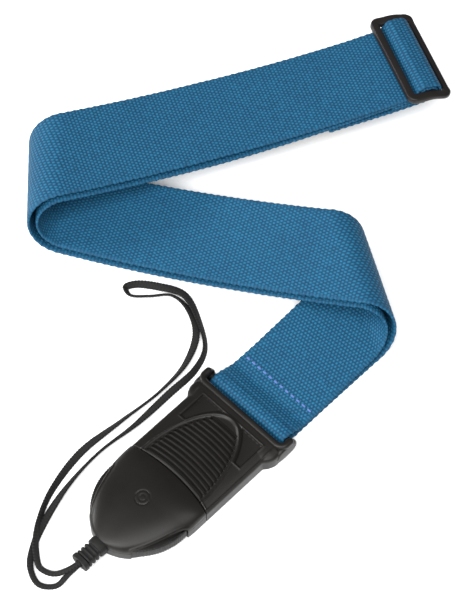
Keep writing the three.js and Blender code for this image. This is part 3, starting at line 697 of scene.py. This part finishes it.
def rounded_rectangle(low, high, radius):
    """Outline between two opposite corners, anticlockwise from the start of its lower right round."""
    (x0, y0), (x1, y1) = np.add(low, radius), np.subtract(high, radius)
    loop = []
    for quarter, (x, y) in enumerate([(x1, y0), (x1, y1), (x0, y1), (x0, y0)]):
        for angle in (90 * quarter + np.linspace(-90, 0, CORNER_POINTS)) * DEG:
            loop.append((x + radius * math.cos(angle), y + radius * math.sin(angle)))
    return loop


def merge(solids):
    points, faces, count = [], [], 0
    for one, some in solids:
        points.append(one)
        faces += [[i + count for i in face] for face in some]
        count += len(one)
    return np.concatenate(points), faces


def stitch_row(name, node, place, x, low, high):
    """Row of lock stitches across the strap: each lies on a level and dives into it at both ends."""
    solids = []
    share = np.linspace(-1, 1, 15)
    lift = STITCH["thread"] * (0.55 - 1.9 * np.abs(share) ** 6)
    swell = STITCH["thread"] * (1 - 0.45 * share ** 4)
    for i in range(STITCH["count"]):
        across = (i - (STITCH["count"] - 1) / 2) * STITCH["pitch"] + share * STITCH["length"] / 2
        for level, sign in ((high, 1), (low, -1)):
            path = place.world(np.column_stack([np.full(15, x), across, level + sign * lift]))
            solids.append(tube(path, swell, swell * 0.7, place.axes[2], 8)[0])
    add_piece(name, merge(solids), looks["thread"], "strap", [node])


def stitch_rows():
    """Through both layers behind the buckle's bar, and through the pair folded back at the slider."""
    strap = 2 * HELD_HALF
    under = -strap - WEBBING["gap"] - HELD_HALF
    at_bar, at_slider = STITCH_PLACES["from_bar"], -STITCH_PLACES["from_slider"]
    stitch_row("bar_stitches", "buckle_stitching", bar_part.place, at_bar, 0.35, strap - 0.08)
    stitch_row("hem_stitches", "hem_stitching", slider_part.place, at_slider, under + 0.1, -HELD_HALF - 0.35)


# ---- slider


def slider_piece():
    """Three-bar slider: a rounded ring with humped rails, and the flat centre bar between them."""
    along, across, up = slider_part.place.axes
    tilt = SLIDER["tilt"]
    place = Frame(
        slider_part.place.origin + SLIDER["centre_height"] * up,
        along * math.cos(tilt) - up * math.sin(tilt),
        across,
        along * math.sin(tilt) + up * math.cos(tilt),
    )
    back, front = SLIDER["back_half"] - SLIDER["back"], SLIDER["front"] - SLIDER["front_half"]
    side, corner = SLIDER["half_width"] - SLIDER["rail_half"], SLIDER["corner"]
    loop = rounded_rectangle((back, -side), (front, side), corner)
    plan = [(front, 0), *loop[CORNER_POINTS:], *loop[:CORNER_POINTS], (front, 0)]
    path = even(np.array([(x, y, 0.0) for x, y in plan]), 0.5)[:-1]
    on_rail = smooth(side - corner - 1, side, np.abs(path[:, 1]))
    at_back = smooth(0, back, path[:, 0])
    path[:, 2] = SLIDER["hump"] * on_rail * bump(path[:, 0], 5.5) + SLIDER["back_rise"] * at_back
    bar = SLIDER["front_half"] + (SLIDER["back_half"] - SLIDER["front_half"]) * at_back
    wide = bar + (SLIDER["rail_half"] - bar) * on_rail
    high = SLIDER["half_height"] + SLIDER["back_rise"] * at_back
    ring, _ = tube(path, wide, high, UPWARD, 24, 4.2, ring=True)
    middle = np.linspace((0, -side, 0), (0, side, 0), 30)
    flat = SLIDER["centre_span"] + SLIDER["centre_radius"]
    centre, _ = tube(middle, flat, SLIDER["centre_radius"], UPWARD, 24, 3.4)
    points, faces = merge([ring, centre])
    solid = (place.world(points), faces)
    add_piece("slider_moulding", solid, looks["slider"], "slider", ["slider"])


# ---- buckle shapes


def half_width(x):
    share = np.clip((x - DOME["taper_start"]) / (DOME["tip"] - DOME["taper_start"]), 0, 1)
    return DOME["half_width"] * np.sqrt(1 - share * share)


def crest(x):
    rise = DOME["crest"] - DOME["crest_start"]
    back = np.clip((DOME["crest_x"] - x) / (DOME["crest_x"] - BUCKLE["mouth"]), 0, 1)
    share = np.clip((x - DOME["crest_x"]) / DOME["crest_run"], 0, 1)
    front = DOME["shoulder"] + (DOME["crest"] - DOME["shoulder"]) * np.sqrt(1 - share * share)
    return np.where(x < DOME["crest_x"], DOME["crest"] - rise * back * back, front)


def across_shares():
    """Places across the body as shares of its half-width, close together near the edges."""
    middle = np.linspace(0, WINDOW["share"], 72)
    shoulder = np.linspace(WINDOW["share"], 0.98, 26)[1:]
    edge = 1 - 0.02 * 0.6 ** np.arange(1, 9)
    one = np.concatenate([middle, shoulder, edge, [1.0]])
    return np.concatenate([-one[::-1], one[1:]])


def mouth_curve(y):
    return BUCKLE["mouth_radius"] - np.sqrt(BUCKLE["mouth_radius"] ** 2 - y * y)


def plate_relief(g, x, y):
    """Height added to the plate: corner panels, the oval and its grooves, and raised lines along the long
    sides and at the mouth.
    """
    oval = np.sqrt(((BUCKLE["mouth"] - g) / GRIP["length"]) ** 2 + (y / GRIP["half_width"]) ** 2)
    outside = (oval - 1) * GRIP["half_width"]
    height = 0.45 * bump(outside, 0.45)
    height = height - 0.25 * smooth(0.2, -0.6, outside)
    index = np.clip(np.round((g - GRIP["first"]) / GRIP["pitch"]), 0, GRIP["count"] - 1)
    groove = GRIP["first"] + index * GRIP["pitch"]
    share = (BUCKLE["mouth"] - groove) / GRIP["length"]
    reach = GRIP["half_width"] * np.sqrt(1 - share * share) - GRIP["margin"]
    inside = smooth(0.35, -0.35, np.abs(y) - reach)
    height = height - 1.6 * inside * smooth(0.8, 0.4, np.abs(g - groove))
    height = height + 0.35 * inside * bump(np.abs(g - groove) - 1.0, 0.28)
    # Corner panels: recessed, with a raised line round them.
    side = np.minimum(x - PANEL["back"], PANEL["outer"] - np.abs(y))
    side = np.minimum(side, np.minimum(PANEL["front"] - x, (outside - PANEL["off_oval"]) * 0.8))
    height = height - PANEL["depth"] * smooth(0, 0.45, side) + 0.25 * bump(side + 0.45, 0.35)
    # A raised line along each long side.
    height = height + 0.3 * bump(np.abs(y) - 23.5, 0.35) * smooth(8, 11, x)
    return height + 0.25 * bump(g - 49.2, 0.3)


def plate_piece():
    g = np.arange(BUCKLE["plate_start"], BUCKLE["mouth"] - CLEARANCE / 2, 0.25)
    grid_g, share = np.meshgrid(g, across_shares(), indexing="ij")
    flare = (BUCKLE["ear_outer"] - 0.4 - DOME["half_width"]) * smooth(14.0, 9.5, grid_g)
    y = share * (DOME["half_width"] + flare)
    x = grid_g + mouth_curve(np.clip(y, -26, 26)) * smooth(7, 13, grid_g)
    power = 4.0
    arch = (1 - np.abs(share) ** power) ** (1 / power)
    z = BUCKLE["seam"] + (DOME["crest_start"] - BUCKLE["seam"]) * arch
    z = z + plate_relief(grid_g, x, y) * smooth(1.0, 0.97, np.abs(share))
    z = z - rounding(x - BUCKLE["plate_start"], 1.7) - rounding(g[-1] - grid_g, 0.4)
    top = np.stack([x, y, z], axis=-1)
    from_side = np.abs(y).max(axis=1, keepdims=True) - np.abs(y)
    bottom = np.stack([x, y, rounding(from_side, 0.8)], axis=-1)
    solid = shell(top, bottom)
    add_buckle_piece("buckle_plate", solid, "plastic", "buckle_half", ["buckle_strap_half"], sharp=35)


def edge_steps(low, high, radius, count):
    """Places from low to high, each with the inset of an outline there, so that both edges are rounded."""
    turn = np.linspace(0, math.pi / 2, count)
    from_end, inset = radius * (1 - np.cos(turn)), radius * (1 - np.sin(turn))
    return [*zip(low + from_end, inset), *zip((high - from_end)[::-1], inset[::-1])]


def rounded_slab(x0, x1, y0, y1, z0, z1, corner, edge):
    """Slab standing across y with its outline's corners and its edges rounded."""
    loops = []
    for y, inset in edge_steps(y0, y1, edge, 6):
        radius = max(corner - inset, 0.15)
        outline = rounded_rectangle((x0 + inset, z0 + inset), (x1 - inset, z1 - inset), radius)
        loops.append([(x, y, z) for x, z in outline])
    return loft(loops)


def rim_piece():
    """Rounded rim along the slot that turns both corners and runs back along the ears."""
    x, corner = BUCKLE["rim_x"], BUCKLE["rim_corner"]
    y = (BUCKLE["ear_inner"] + BUCKLE["ear_outer"]) / 2
    turn = np.linspace(90, 0, 10) * DEG
    bend = [(x - corner + corner * math.cos(t), y - corner + corner * math.sin(t)) for t in turn]
    half = [(BUCKLE["ear_back"] + 1.9, y)] + bend
    plan = np.array(half + [(a, -b) for a, b in half[::-1]])
    path = even(np.column_stack([plan, np.full(len(plan), BUCKLE["rim_z"])]), 0.5)
    from_end = np.minimum(np.arange(len(path)), np.arange(len(path))[::-1]) * 0.5
    size = BUCKLE["rim_half"] * (1 - rounding(np.maximum(from_end, 0.1), 1.6) / 1.6)
    add_buckle_piece("buckle_rim", tube(path, size, size, UPWARD, 20, 2.4)[0], "plastic", "buckle_half")


def ear_pieces():
    for side, name in ((1, "left"), (-1, "right")):
        points, faces = rounded_slab(
            BUCKLE["ear_back"], BUCKLE["ear_front"], BUCKLE["ear_inner"], BUCKLE["ear_outer"],
            CLEARANCE, BUCKLE["ear_height"], 4.4, 1.3,
        )
        add_buckle_piece("buckle_ear_" + name, (points * (1, side, 1), faces), "plastic", "buckle_half")


def bar_piece():
    end = BUCKLE["ear_inner"] + 0.5
    path = np.linspace((0, -end, bar_centre[2]), (0, end, bar_centre[2]), 12)
    solid, _ = tube(path, BAR_RADIUS, BAR_RADIUS, UPWARD, 24)
    add_buckle_piece("buckle_bar", solid, "plastic", "buckle_half")


def window_edge(x):
    """Share of the half-width where the finger window starts: a crescent with a point at both ends."""
    along = np.clip((x - WINDOW["start"]) / (WINDOW["end"] - WINDOW["start"]), 0, 1)
    return 1 - (1 - WINDOW["share"]) * np.sqrt(4 * along * (1 - along))


def meet_window(g):
    """Moves the nearest places in g onto the window's two ends."""
    for stop in (WINDOW["start"], WINDOW["end"]):
        g[np.argmin(np.abs(g - stop))] = stop


def beside_window(g):
    """Which spans between the places in g lie beside the window."""
    centre = (g[:-1] + g[1:]) / 2
    return (centre > WINDOW["start"]) & (centre < WINDOW["end"])


def dome_relief(x, y, wide):
    """Height added to the dome: raised lines round the finger windows and a plain mark of two rings."""
    beyond_x = np.maximum(np.maximum(WINDOW["start"] - x, x - WINDOW["end"]), 0)
    beyond_y = np.maximum(window_edge(x) * wide - np.abs(y), 0)
    from_window = np.hypot(beyond_x, beyond_y)
    height = 0.32 * bump(from_window - 0.55, 0.33) - 0.12 * bump(from_window - 1.6, 0.6)
    ring = np.hypot(x - RING_MARK["x"], y)
    return height - 0.28 * bump(ring - RING_MARK["outer"], 0.3) - 0.2 * bump(ring - RING_MARK["inner"], 0.3)


def dome_piece():
    start = BUCKLE["mouth"] + CLEARANCE / 2
    taper = DOME["taper_start"]
    run = DOME["tip"] - taper
    last = math.asin((DOME["cut"] - taper) / run)
    g = np.concatenate([
        start + np.array([0, 0.06, 0.16, 0.3, 0.5]),
        np.arange(start + 0.8, taper, 0.4),
        taper + run * np.sin(np.linspace(0.005, last, 120)),
    ])
    meet_window(g)
    grid_g, share = np.meshgrid(g, across_shares(), indexing="ij")
    wide = half_width(grid_g)
    y = share * wide
    x = grid_g + mouth_curve(y) * smooth(63, start, grid_g)
    power = 2.6 + 1.4 * smooth(66, start, grid_g)
    arch = (1 - np.abs(share) ** power) ** (1 / power)
    seam = BUCKLE["seam"] + CLEARANCE / 2
    top = crest(x)
    z = seam + (top - seam) * arch
    z = z + dome_relief(x, y, wide) * smooth(1.0, 0.96, np.abs(share))
    z = z - rounding(grid_g - start, 0.5) * arch
    outer = np.stack([x, y, z], axis=-1)
    wall = BUCKLE["wall"]
    inner_wide = np.maximum(wide - wall, 0.5)
    inner = np.stack([x, share * inner_wide, seam + np.maximum(top - wall - seam, 0.3) * arch], axis=-1)
    centre_g = (g[:-1] + g[1:]) / 2
    shares = across_shares()
    centre_share = np.abs(shares[:-1] + shares[1:]) / 2
    keep = ~(beside_window(g)[:, None] & (centre_share > window_edge(centre_g)[:, None]))
    solid = shell(outer, inner, keep)
    add_buckle_piece("buckle_dome", solid, "plastic", "housing", ["housing_top"], sharp=35)


def base_piece():
    """Lower shell of the housing: flat floor, low sides, open where the pads are."""
    g = np.concatenate([
        np.arange(BUCKLE["mouth"] + CLEARANCE / 2, DOME["taper_start"], 1.2),
        DOME["taper_start"] + (DOME["tip"] - DOME["taper_start"]) * np.sin(np.linspace(0, 1.405, 60)),
    ])
    meet_window(g)
    wide = half_width(g)
    top = BUCKLE["seam"] - CLEARANCE / 2
    turn = np.linspace(0, math.pi / 2, 6)
    fall = np.linspace(1, 0, 6)
    # Sides as distances in from the half-width, and heights.
    rim = [(0, top), (0, 3.0), *zip(0.9 * (1 - np.cos(turn)), 0.9 * (1 - np.sin(turn)))]
    inner_rim = [(0, top), (0, 3.5), *zip(0.4 * (1 - fall), BUCKLE["floor"] + 0.8 * fall ** 2)]
    inner_rim = [(BUCKLE["wall"] + inset, z) for inset, z in inner_rim]
    middle = np.linspace(WINDOW["share"], -WINDOW["share"], 21)
    outer, inner = [], []
    for x, w in zip(g, wide):
        curved = smooth(63, BUCKLE["mouth"], x)
        for grid, sides, level in ((outer, rim, 0), (inner, inner_rim, BUCKLE["floor"])):
            left = [(x + mouth_curve(w) * curved, max(w - inset, 0.3), z) for inset, z in sides]
            across = [(x + mouth_curve(y) * curved, y, level) for y in middle * w]
            grid.append(left + across + [(a, -b, c) for a, b, c in left[::-1]])
    outer, inner = np.array(outer), np.array(inner)
    column = np.arange(outer.shape[1] - 1)
    side = (column < len(rim)) | (column >= outer.shape[1] - 1 - len(rim))
    keep = ~(beside_window(g)[:, None] & side)
    solid = shell(outer, inner, keep)
    add_buckle_piece("buckle_base", solid, "plastic", "housing", ["housing_base"], sharp=35)


def rounded_prism(outline, z0, z1, radius):
    """Upright prism over a plan outline with its top and bottom edges rounded."""
    outline = np.asarray(outline, float)
    before, after = np.roll(outline, 1, axis=0), np.roll(outline, -1, axis=0)
    tangent = after - before
    tangent /= np.linalg.norm(tangent, axis=1)[:, None]
    inward = np.column_stack([-tangent[:, 1], tangent[:, 0]])
    inward *= np.sign(np.sum(outline[:, 0] * after[:, 1] - after[:, 0] * outline[:, 1]))
    loops = []
    for z, inset in edge_steps(z0, z1, radius, 5):
        loops.append(np.column_stack([outline + inward * inset, np.full(len(outline), z)]))
    return loft(loops)


def prong_pieces():
    inner = PRONG["hinge_y"] - PRONG["arm_width"] / 2
    outer = PRONG["hinge_y"] + PRONG["arm_width"] / 2
    start, end = PRONG["pad_start"], PRONG["pad_end"]
    t = np.linspace(0, 1, 121)
    x = start + (end - start) * t
    ridge = np.abs(np.sin(math.pi * t * PRONG["ridges"])) * smooth(0, 0.06, t) * smooth(1, 0.94, t)
    pad = np.column_stack([x, half_width(x) - 0.3 + np.sin(math.pi * t) - 0.35 * (1 - ridge)])
    arm_out = np.linspace((PRONG["hinge_x"], outer), (start, outer), 12)
    step = np.linspace((start, outer), pad[0], 10)[1:-1]
    back = np.linspace((end, PRONG["inner_y"]), (start, inner), 20)[:-1]
    arm_in = np.linspace((start, inner), (PRONG["hinge_x"], inner), 12)
    outline = np.concatenate([arm_out, step, pad, back, arm_in])
    for side, name in ((1, "left"), (-1, "right")):
        solid = rounded_prism(outline * (1, side), PRONG["bottom"], PRONG["top"], 0.6)
        add_buckle_piece("squeeze_pad_" + name, solid, "pad", name + "_prong", [name + "_prong"])


def tongue_piece():
    half = TONGUE["half_width"]
    turn = np.linspace(-90, 90, 25) * DEG
    nose = np.column_stack([TONGUE["end"] - half + half * np.cos(turn), half * np.sin(turn)])
    root = [(BUCKLE["mouth"] - 1, half), (BUCKLE["mouth"] - 1, -half)]
    solid = rounded_prism([*root, *nose], TONGUE["bottom"], TONGUE["top"], 0.5)
    add_buckle_piece("buckle_tongue", solid, "plastic", "buckle_half")


def boot_piece():
    """Rubber boot: rounded head over the dome's tip, three ribs and an end flange with a hollow."""
    # Each entry: distance along, half-width, half-height.
    profile = [(91.0, 3.4, 2.6), (94.6, 3.6, 2.8)]
    for angle in np.linspace(20, 90, 9) * DEG:
        swell = math.sin(angle)
        profile.append((98.2 - 3.6 * math.cos(angle), 3.5 + 1.15 * swell, 2.9 + swell))
    profile += [(99.4, 4.6, 3.85), (99.8, 4.3, 3.6), (100.0, 3.7, 3.0)]
    for i in range(3):
        x = 100.3 + 2.2 * i
        profile += [(x, 3.6, 2.9), (x + 0.6, 3.6, 2.9)]
        for angle in np.linspace(0, 180, 7) * DEG:
            swell = 0.85 * math.sin(angle) ** 0.6
            profile.append((x + 1.4 - 0.7 * math.cos(angle), 3.65 + swell, 2.9 + 0.75 * swell))
    end = BOOT["end"]
    profile += [(106.9, 3.7, 3.0), (107.2, 4.4, 3.5), (107.4, 4.65, 3.65), (end - 0.2, 4.7, 3.7)]
    profile += [(end, 4.5, 3.5), (end, 1.9, 1.95), (end - 0.4, 1.65, 1.9), (BOOT["hollow_end"], 1.5, 1.8)]
    a, b, _ = section(48, 3)
    loops = [np.column_stack([np.full(48, x), w * a, BOOT["axis"] + h * b]) for x, w, h in profile]
    add_buckle_piece(
        "cord_boot_ribbed", loft(loops), "rubber", "housing", ["cord_boot"], sharp=30,
    )


# ---- cord


def through(points, per_span=24):
    """Centripetal Catmull-Rom curve through the points."""
    points = np.asarray(points, float)
    ends = np.array([2 * points[0] - points[1], *points, 2 * points[-1] - points[-2]])
    knots = np.concatenate([[0], np.cumsum(np.linalg.norm(np.diff(ends, axis=0), axis=1) ** 0.5)])
    curve = []
    for i in range(1, len(points)):
        t = np.linspace(knots[i], knots[i + 1], per_span, endpoint=False)[:, None]
        k = knots[i - 1:i + 3]
        level = list(ends[i - 1:i + 3])
        for starts, stops in ((k[:3], k[1:]), (k[:2], k[2:]), (k[1:2], k[2:3])):
            level = [
                ((b - t) * before + (t - a) * after) / (b - a)
                for a, b, before, after in zip(starts, stops, level, level[1:])
            ]
        curve.append(level[0])
    return np.concatenate([*curve, points[-1:]])


# Heights of the lace's middle: lying on the table, lying on itself, and above or below the boot's axis.
REST = LACE["thickness"] / 2 + 0.4
ABOVE = REST + LACE["thickness"] + CLEARANCE
LEVEL = LACE["spacing"] / 2


def cord_path():
    """Out of the boot along one strand, round the loop's far end and back over it along the other."""
    lower_hole = BOOT["axis"] - LEVEL
    upper_hole = BOOT["axis"] + LEVEL
    lying = [
        (123, -1), (128, -7), (125, -16), (116, -23), (102, -29), (85, -33.5), (64, -35.5), (42, -33.8),
        (20, -34.2), (2, -34.6), (-9, -39), (-18, -52), (-23.5, -68), (-18, -80), (-11, -89),
        (-6.5, -91), (-5, -86.5), (-11, -79.5), (-19, -72), (-19.5, -62), (-13, -49), (2, -40.5),
        (22, -38.2), (46, -40), (70, -41.5), (92, -37),
    ]
    points = [(BOOT["hollow_end"], 0, lower_hole), (110.2, 0, lower_hole), (116, -0.5, 3)]
    points += [(x, y, REST) for x, y in lying]
    points += [(104, -31.5, REST + 0.6), (113, -25, ABOVE), (119, -18.5, ABOVE), (122.5, -12, ABOVE)]
    points += [(120.5, -5.5, ABOVE + 0.3), (115.5, -1.5, BOOT["axis"])]
    points += [(110.2, 0, upper_hole), (BOOT["hollow_end"], 0, upper_hole)]
    return even(through(points), 0.4)


def cord_pieces():
    """The lace turns flat and on edge along its way. Its two ends, which curve down out of the boot, are
    made as pieces of their own.
    """
    path = cord_path()
    share = np.linspace(0, 1, len(path))
    outside = smooth(0.04, 0.12, share) * smooth(0.97, 0.9, share)
    wide = LACE["half_width"] + 0.5 * outside + 0.3 * bump(share - 0.43, 0.07)
    twist = 1.1 * np.sin(2 * math.pi * (share * 3.0 + 0.1)) * outside
    count = 14
    (points, _), weave = tube(path, wide, LACE["thickness"] / 2, UPWARD, count, 2.6, twist)
    along = weave[:, 0] * 2 * math.pi / LACE["braid"]
    around = weave[:, 1] * 4 * math.pi
    braid = np.maximum(np.sin(along + around), np.sin(along - around))
    centre = np.repeat(path, count, axis=0)
    points = centre + (points - centre) * (1 + 0.06 * braid)[:, None]
    points[:, 2] = np.maximum(points[:, 2], 0.08)
    rings = buckle_frame.world(points).reshape(-1, count, 3)
    weave = weave.reshape(-1, count, 2)
    lead = 34
    last = len(path)
    bend = [(BOOT["end"] - 1.0, 0, BOOT["axis"]), (BOOT["end"] + 4.5, 0, BOOT["axis"])]
    bend_start, bend_end = buckle_frame.world(bend) * MM
    parts = {"loop": (lead, last - lead), "lead_out": (0, lead + 1), "lead_back": (last - lead - 1, last)}
    for name, ends in parts.items():
        part = slice(*ends)
        body = "cord" if name == "loop" else None
        piece = add_piece(
            "tie_cord_" + name, loft(rings[part]), looks["lace"], body, ["tie_cord"],
            weave[part].reshape(-1, 2), 60,
        )
        if not body:
            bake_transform(piece)


def knot_piece():
    """Overhand knot of the two strands behind the boot, with the strands that run into it."""
    t = np.linspace(0, 2 * math.pi, 140)
    size = KNOT["radius"] / 3.4
    path = np.column_stack([
        KNOT["x"] + size * 0.9 * np.sin(3 * t),
        size * 0.8 * (np.sin(t) + 1.7 * np.sin(2 * t)),
        BOOT["axis"] + size * 0.7 * (np.cos(t) - 1.7 * np.cos(2 * t)),
    ])
    solids = [tube(path, 1.1, 0.6, (0, 0.3, 1), 12, 2.6)[0]]
    for sign in (1, -1):
        level = BOOT["axis"] + sign * LEVEL
        strand = np.linspace((KNOT["x"], 0, level), (BOOT["hollow_end"] + 1, 0, level), 40)
        solids.append(tube(strand, 1.1, 0.6, UPWARD, 12, 2.6)[0])
    solid = merge(solids)
    add_buckle_piece(
        "cord_knot_tied", solid, "lace", "housing", ["cord_knot"], weave=solid[0][:, :2],
    )


# ---- carried-over solids


def soften(node, look, size):
    """Keeps a CAD solid's shape, rounds its edges as moulding does and gives it a material."""
    piece = frame["nodes"][node]
    piece.data.materials.clear()
    piece.data.materials.append(look)
    remesh = piece.modifiers.new("even_mesh", "REMESH")
    remesh.mode = "VOXEL"
    remesh.voxel_size = size * MM
    remesh.use_smooth_shade = True
    relax = piece.modifiers.new("rounding", "SMOOTH")
    relax.iterations = 4
    relax.factor = 0.5


soften("end_tab", looks["leather"], 0.4)
soften("tab_stitching", looks["thread"], 0.15)

webbing_piece()
stitch_rows()
slider_piece()
plate_piece()
ear_pieces()
rim_piece()
bar_piece()
dome_piece()
base_piece()
prong_pieces()
tongue_piece()
boot_piece()
cord_pieces()
knot_piece()

# ---- studio


FLOOR_DROP = 0.0003
SURROUND = {"strength": 0.55, "in_reflections": 0.13}
CAMERA = {"elevation": 59.24 * DEG, "distance": 0.953, "aim": (-0.00328, -0.00356, 0), "lens": 117.8}


def studio():
    floor_mesh = bpy.data.meshes.new("floor")
    reach = 4.0
    corners = [(-reach, -reach), (reach, -reach), (reach, reach), (-reach, reach)]
    floor_mesh.from_pydata([(x, y, -FLOOR_DROP) for x, y in corners], [], [(0, 1, 2, 3)])
    floor = bpy.data.objects.new("floor", floor_mesh)
    bpy.context.scene.collection.objects.link(floor)
    paper = Look("pale_paper", roughness=0.9, specular_ior_level=0.1)
    paper.colour((0.93, 0.93, 0.93))
    floor_mesh.materials.append(paper.material)

    world = bpy.data.worlds.new("studio")
    bpy.context.scene.world = world
    world.use_nodes = True
    # The surround lights the scene evenly but shows only dimly in reflections.
    tree = world.node_tree
    sky = tree.nodes["Background"]
    sky.inputs["Color"].default_value = (1, 1, 1, 1)
    rays = tree.nodes.new("ShaderNodeLightPath")
    dim = tree.nodes.new("ShaderNodeMath")
    dim.operation = "MULTIPLY_ADD"
    dim.inputs[1].default_value = SURROUND["in_reflections"] - SURROUND["strength"]
    dim.inputs[2].default_value = SURROUND["strength"]
    tree.links.new(rays.outputs["Is Glossy Ray"], dim.inputs[0])
    tree.links.new(dim.outputs[0], sky.inputs["Strength"])

    # Name, place in metres, side of the square, power in watts.
    lights = [
        ("key", (-0.9, -0.9, 1.1), 0.8, 26),
        ("top", (0.1, -0.75, 1.5), 1.4, 34),
        ("side", (-1.25, 0.30, 0.50), 0.3, 11),
    ]
    for name, place, size, power in lights:
        light = bpy.data.lights.new(name, "AREA")
        light.size = size
        light.energy = power
        lamp = bpy.data.objects.new(name, light)
        lamp.location = place
        lamp.rotation_euler = (-Vector(place)).to_track_quat("-Z", "Y").to_euler()
        bpy.context.scene.collection.objects.link(lamp)


def camera():
    back = Vector((0, -math.cos(CAMERA["elevation"]), math.sin(CAMERA["elevation"])))
    data = bpy.data.cameras.new("camera")
    data.lens = CAMERA["lens"]
    data.clip_start = 0.05
    data.clip_end = 20
    eye = bpy.data.objects.new("camera", data)
    eye.location = Vector(CAMERA["aim"]) + back * CAMERA["distance"]
    eye.rotation_euler = (-back).to_track_quat("-Z", "Y").to_euler()
    bpy.context.scene.collection.objects.link(eye)
    bpy.context.scene.camera = eye


studio()
camera()
bpy.context.scene.view_settings.view_transform = "Standard"
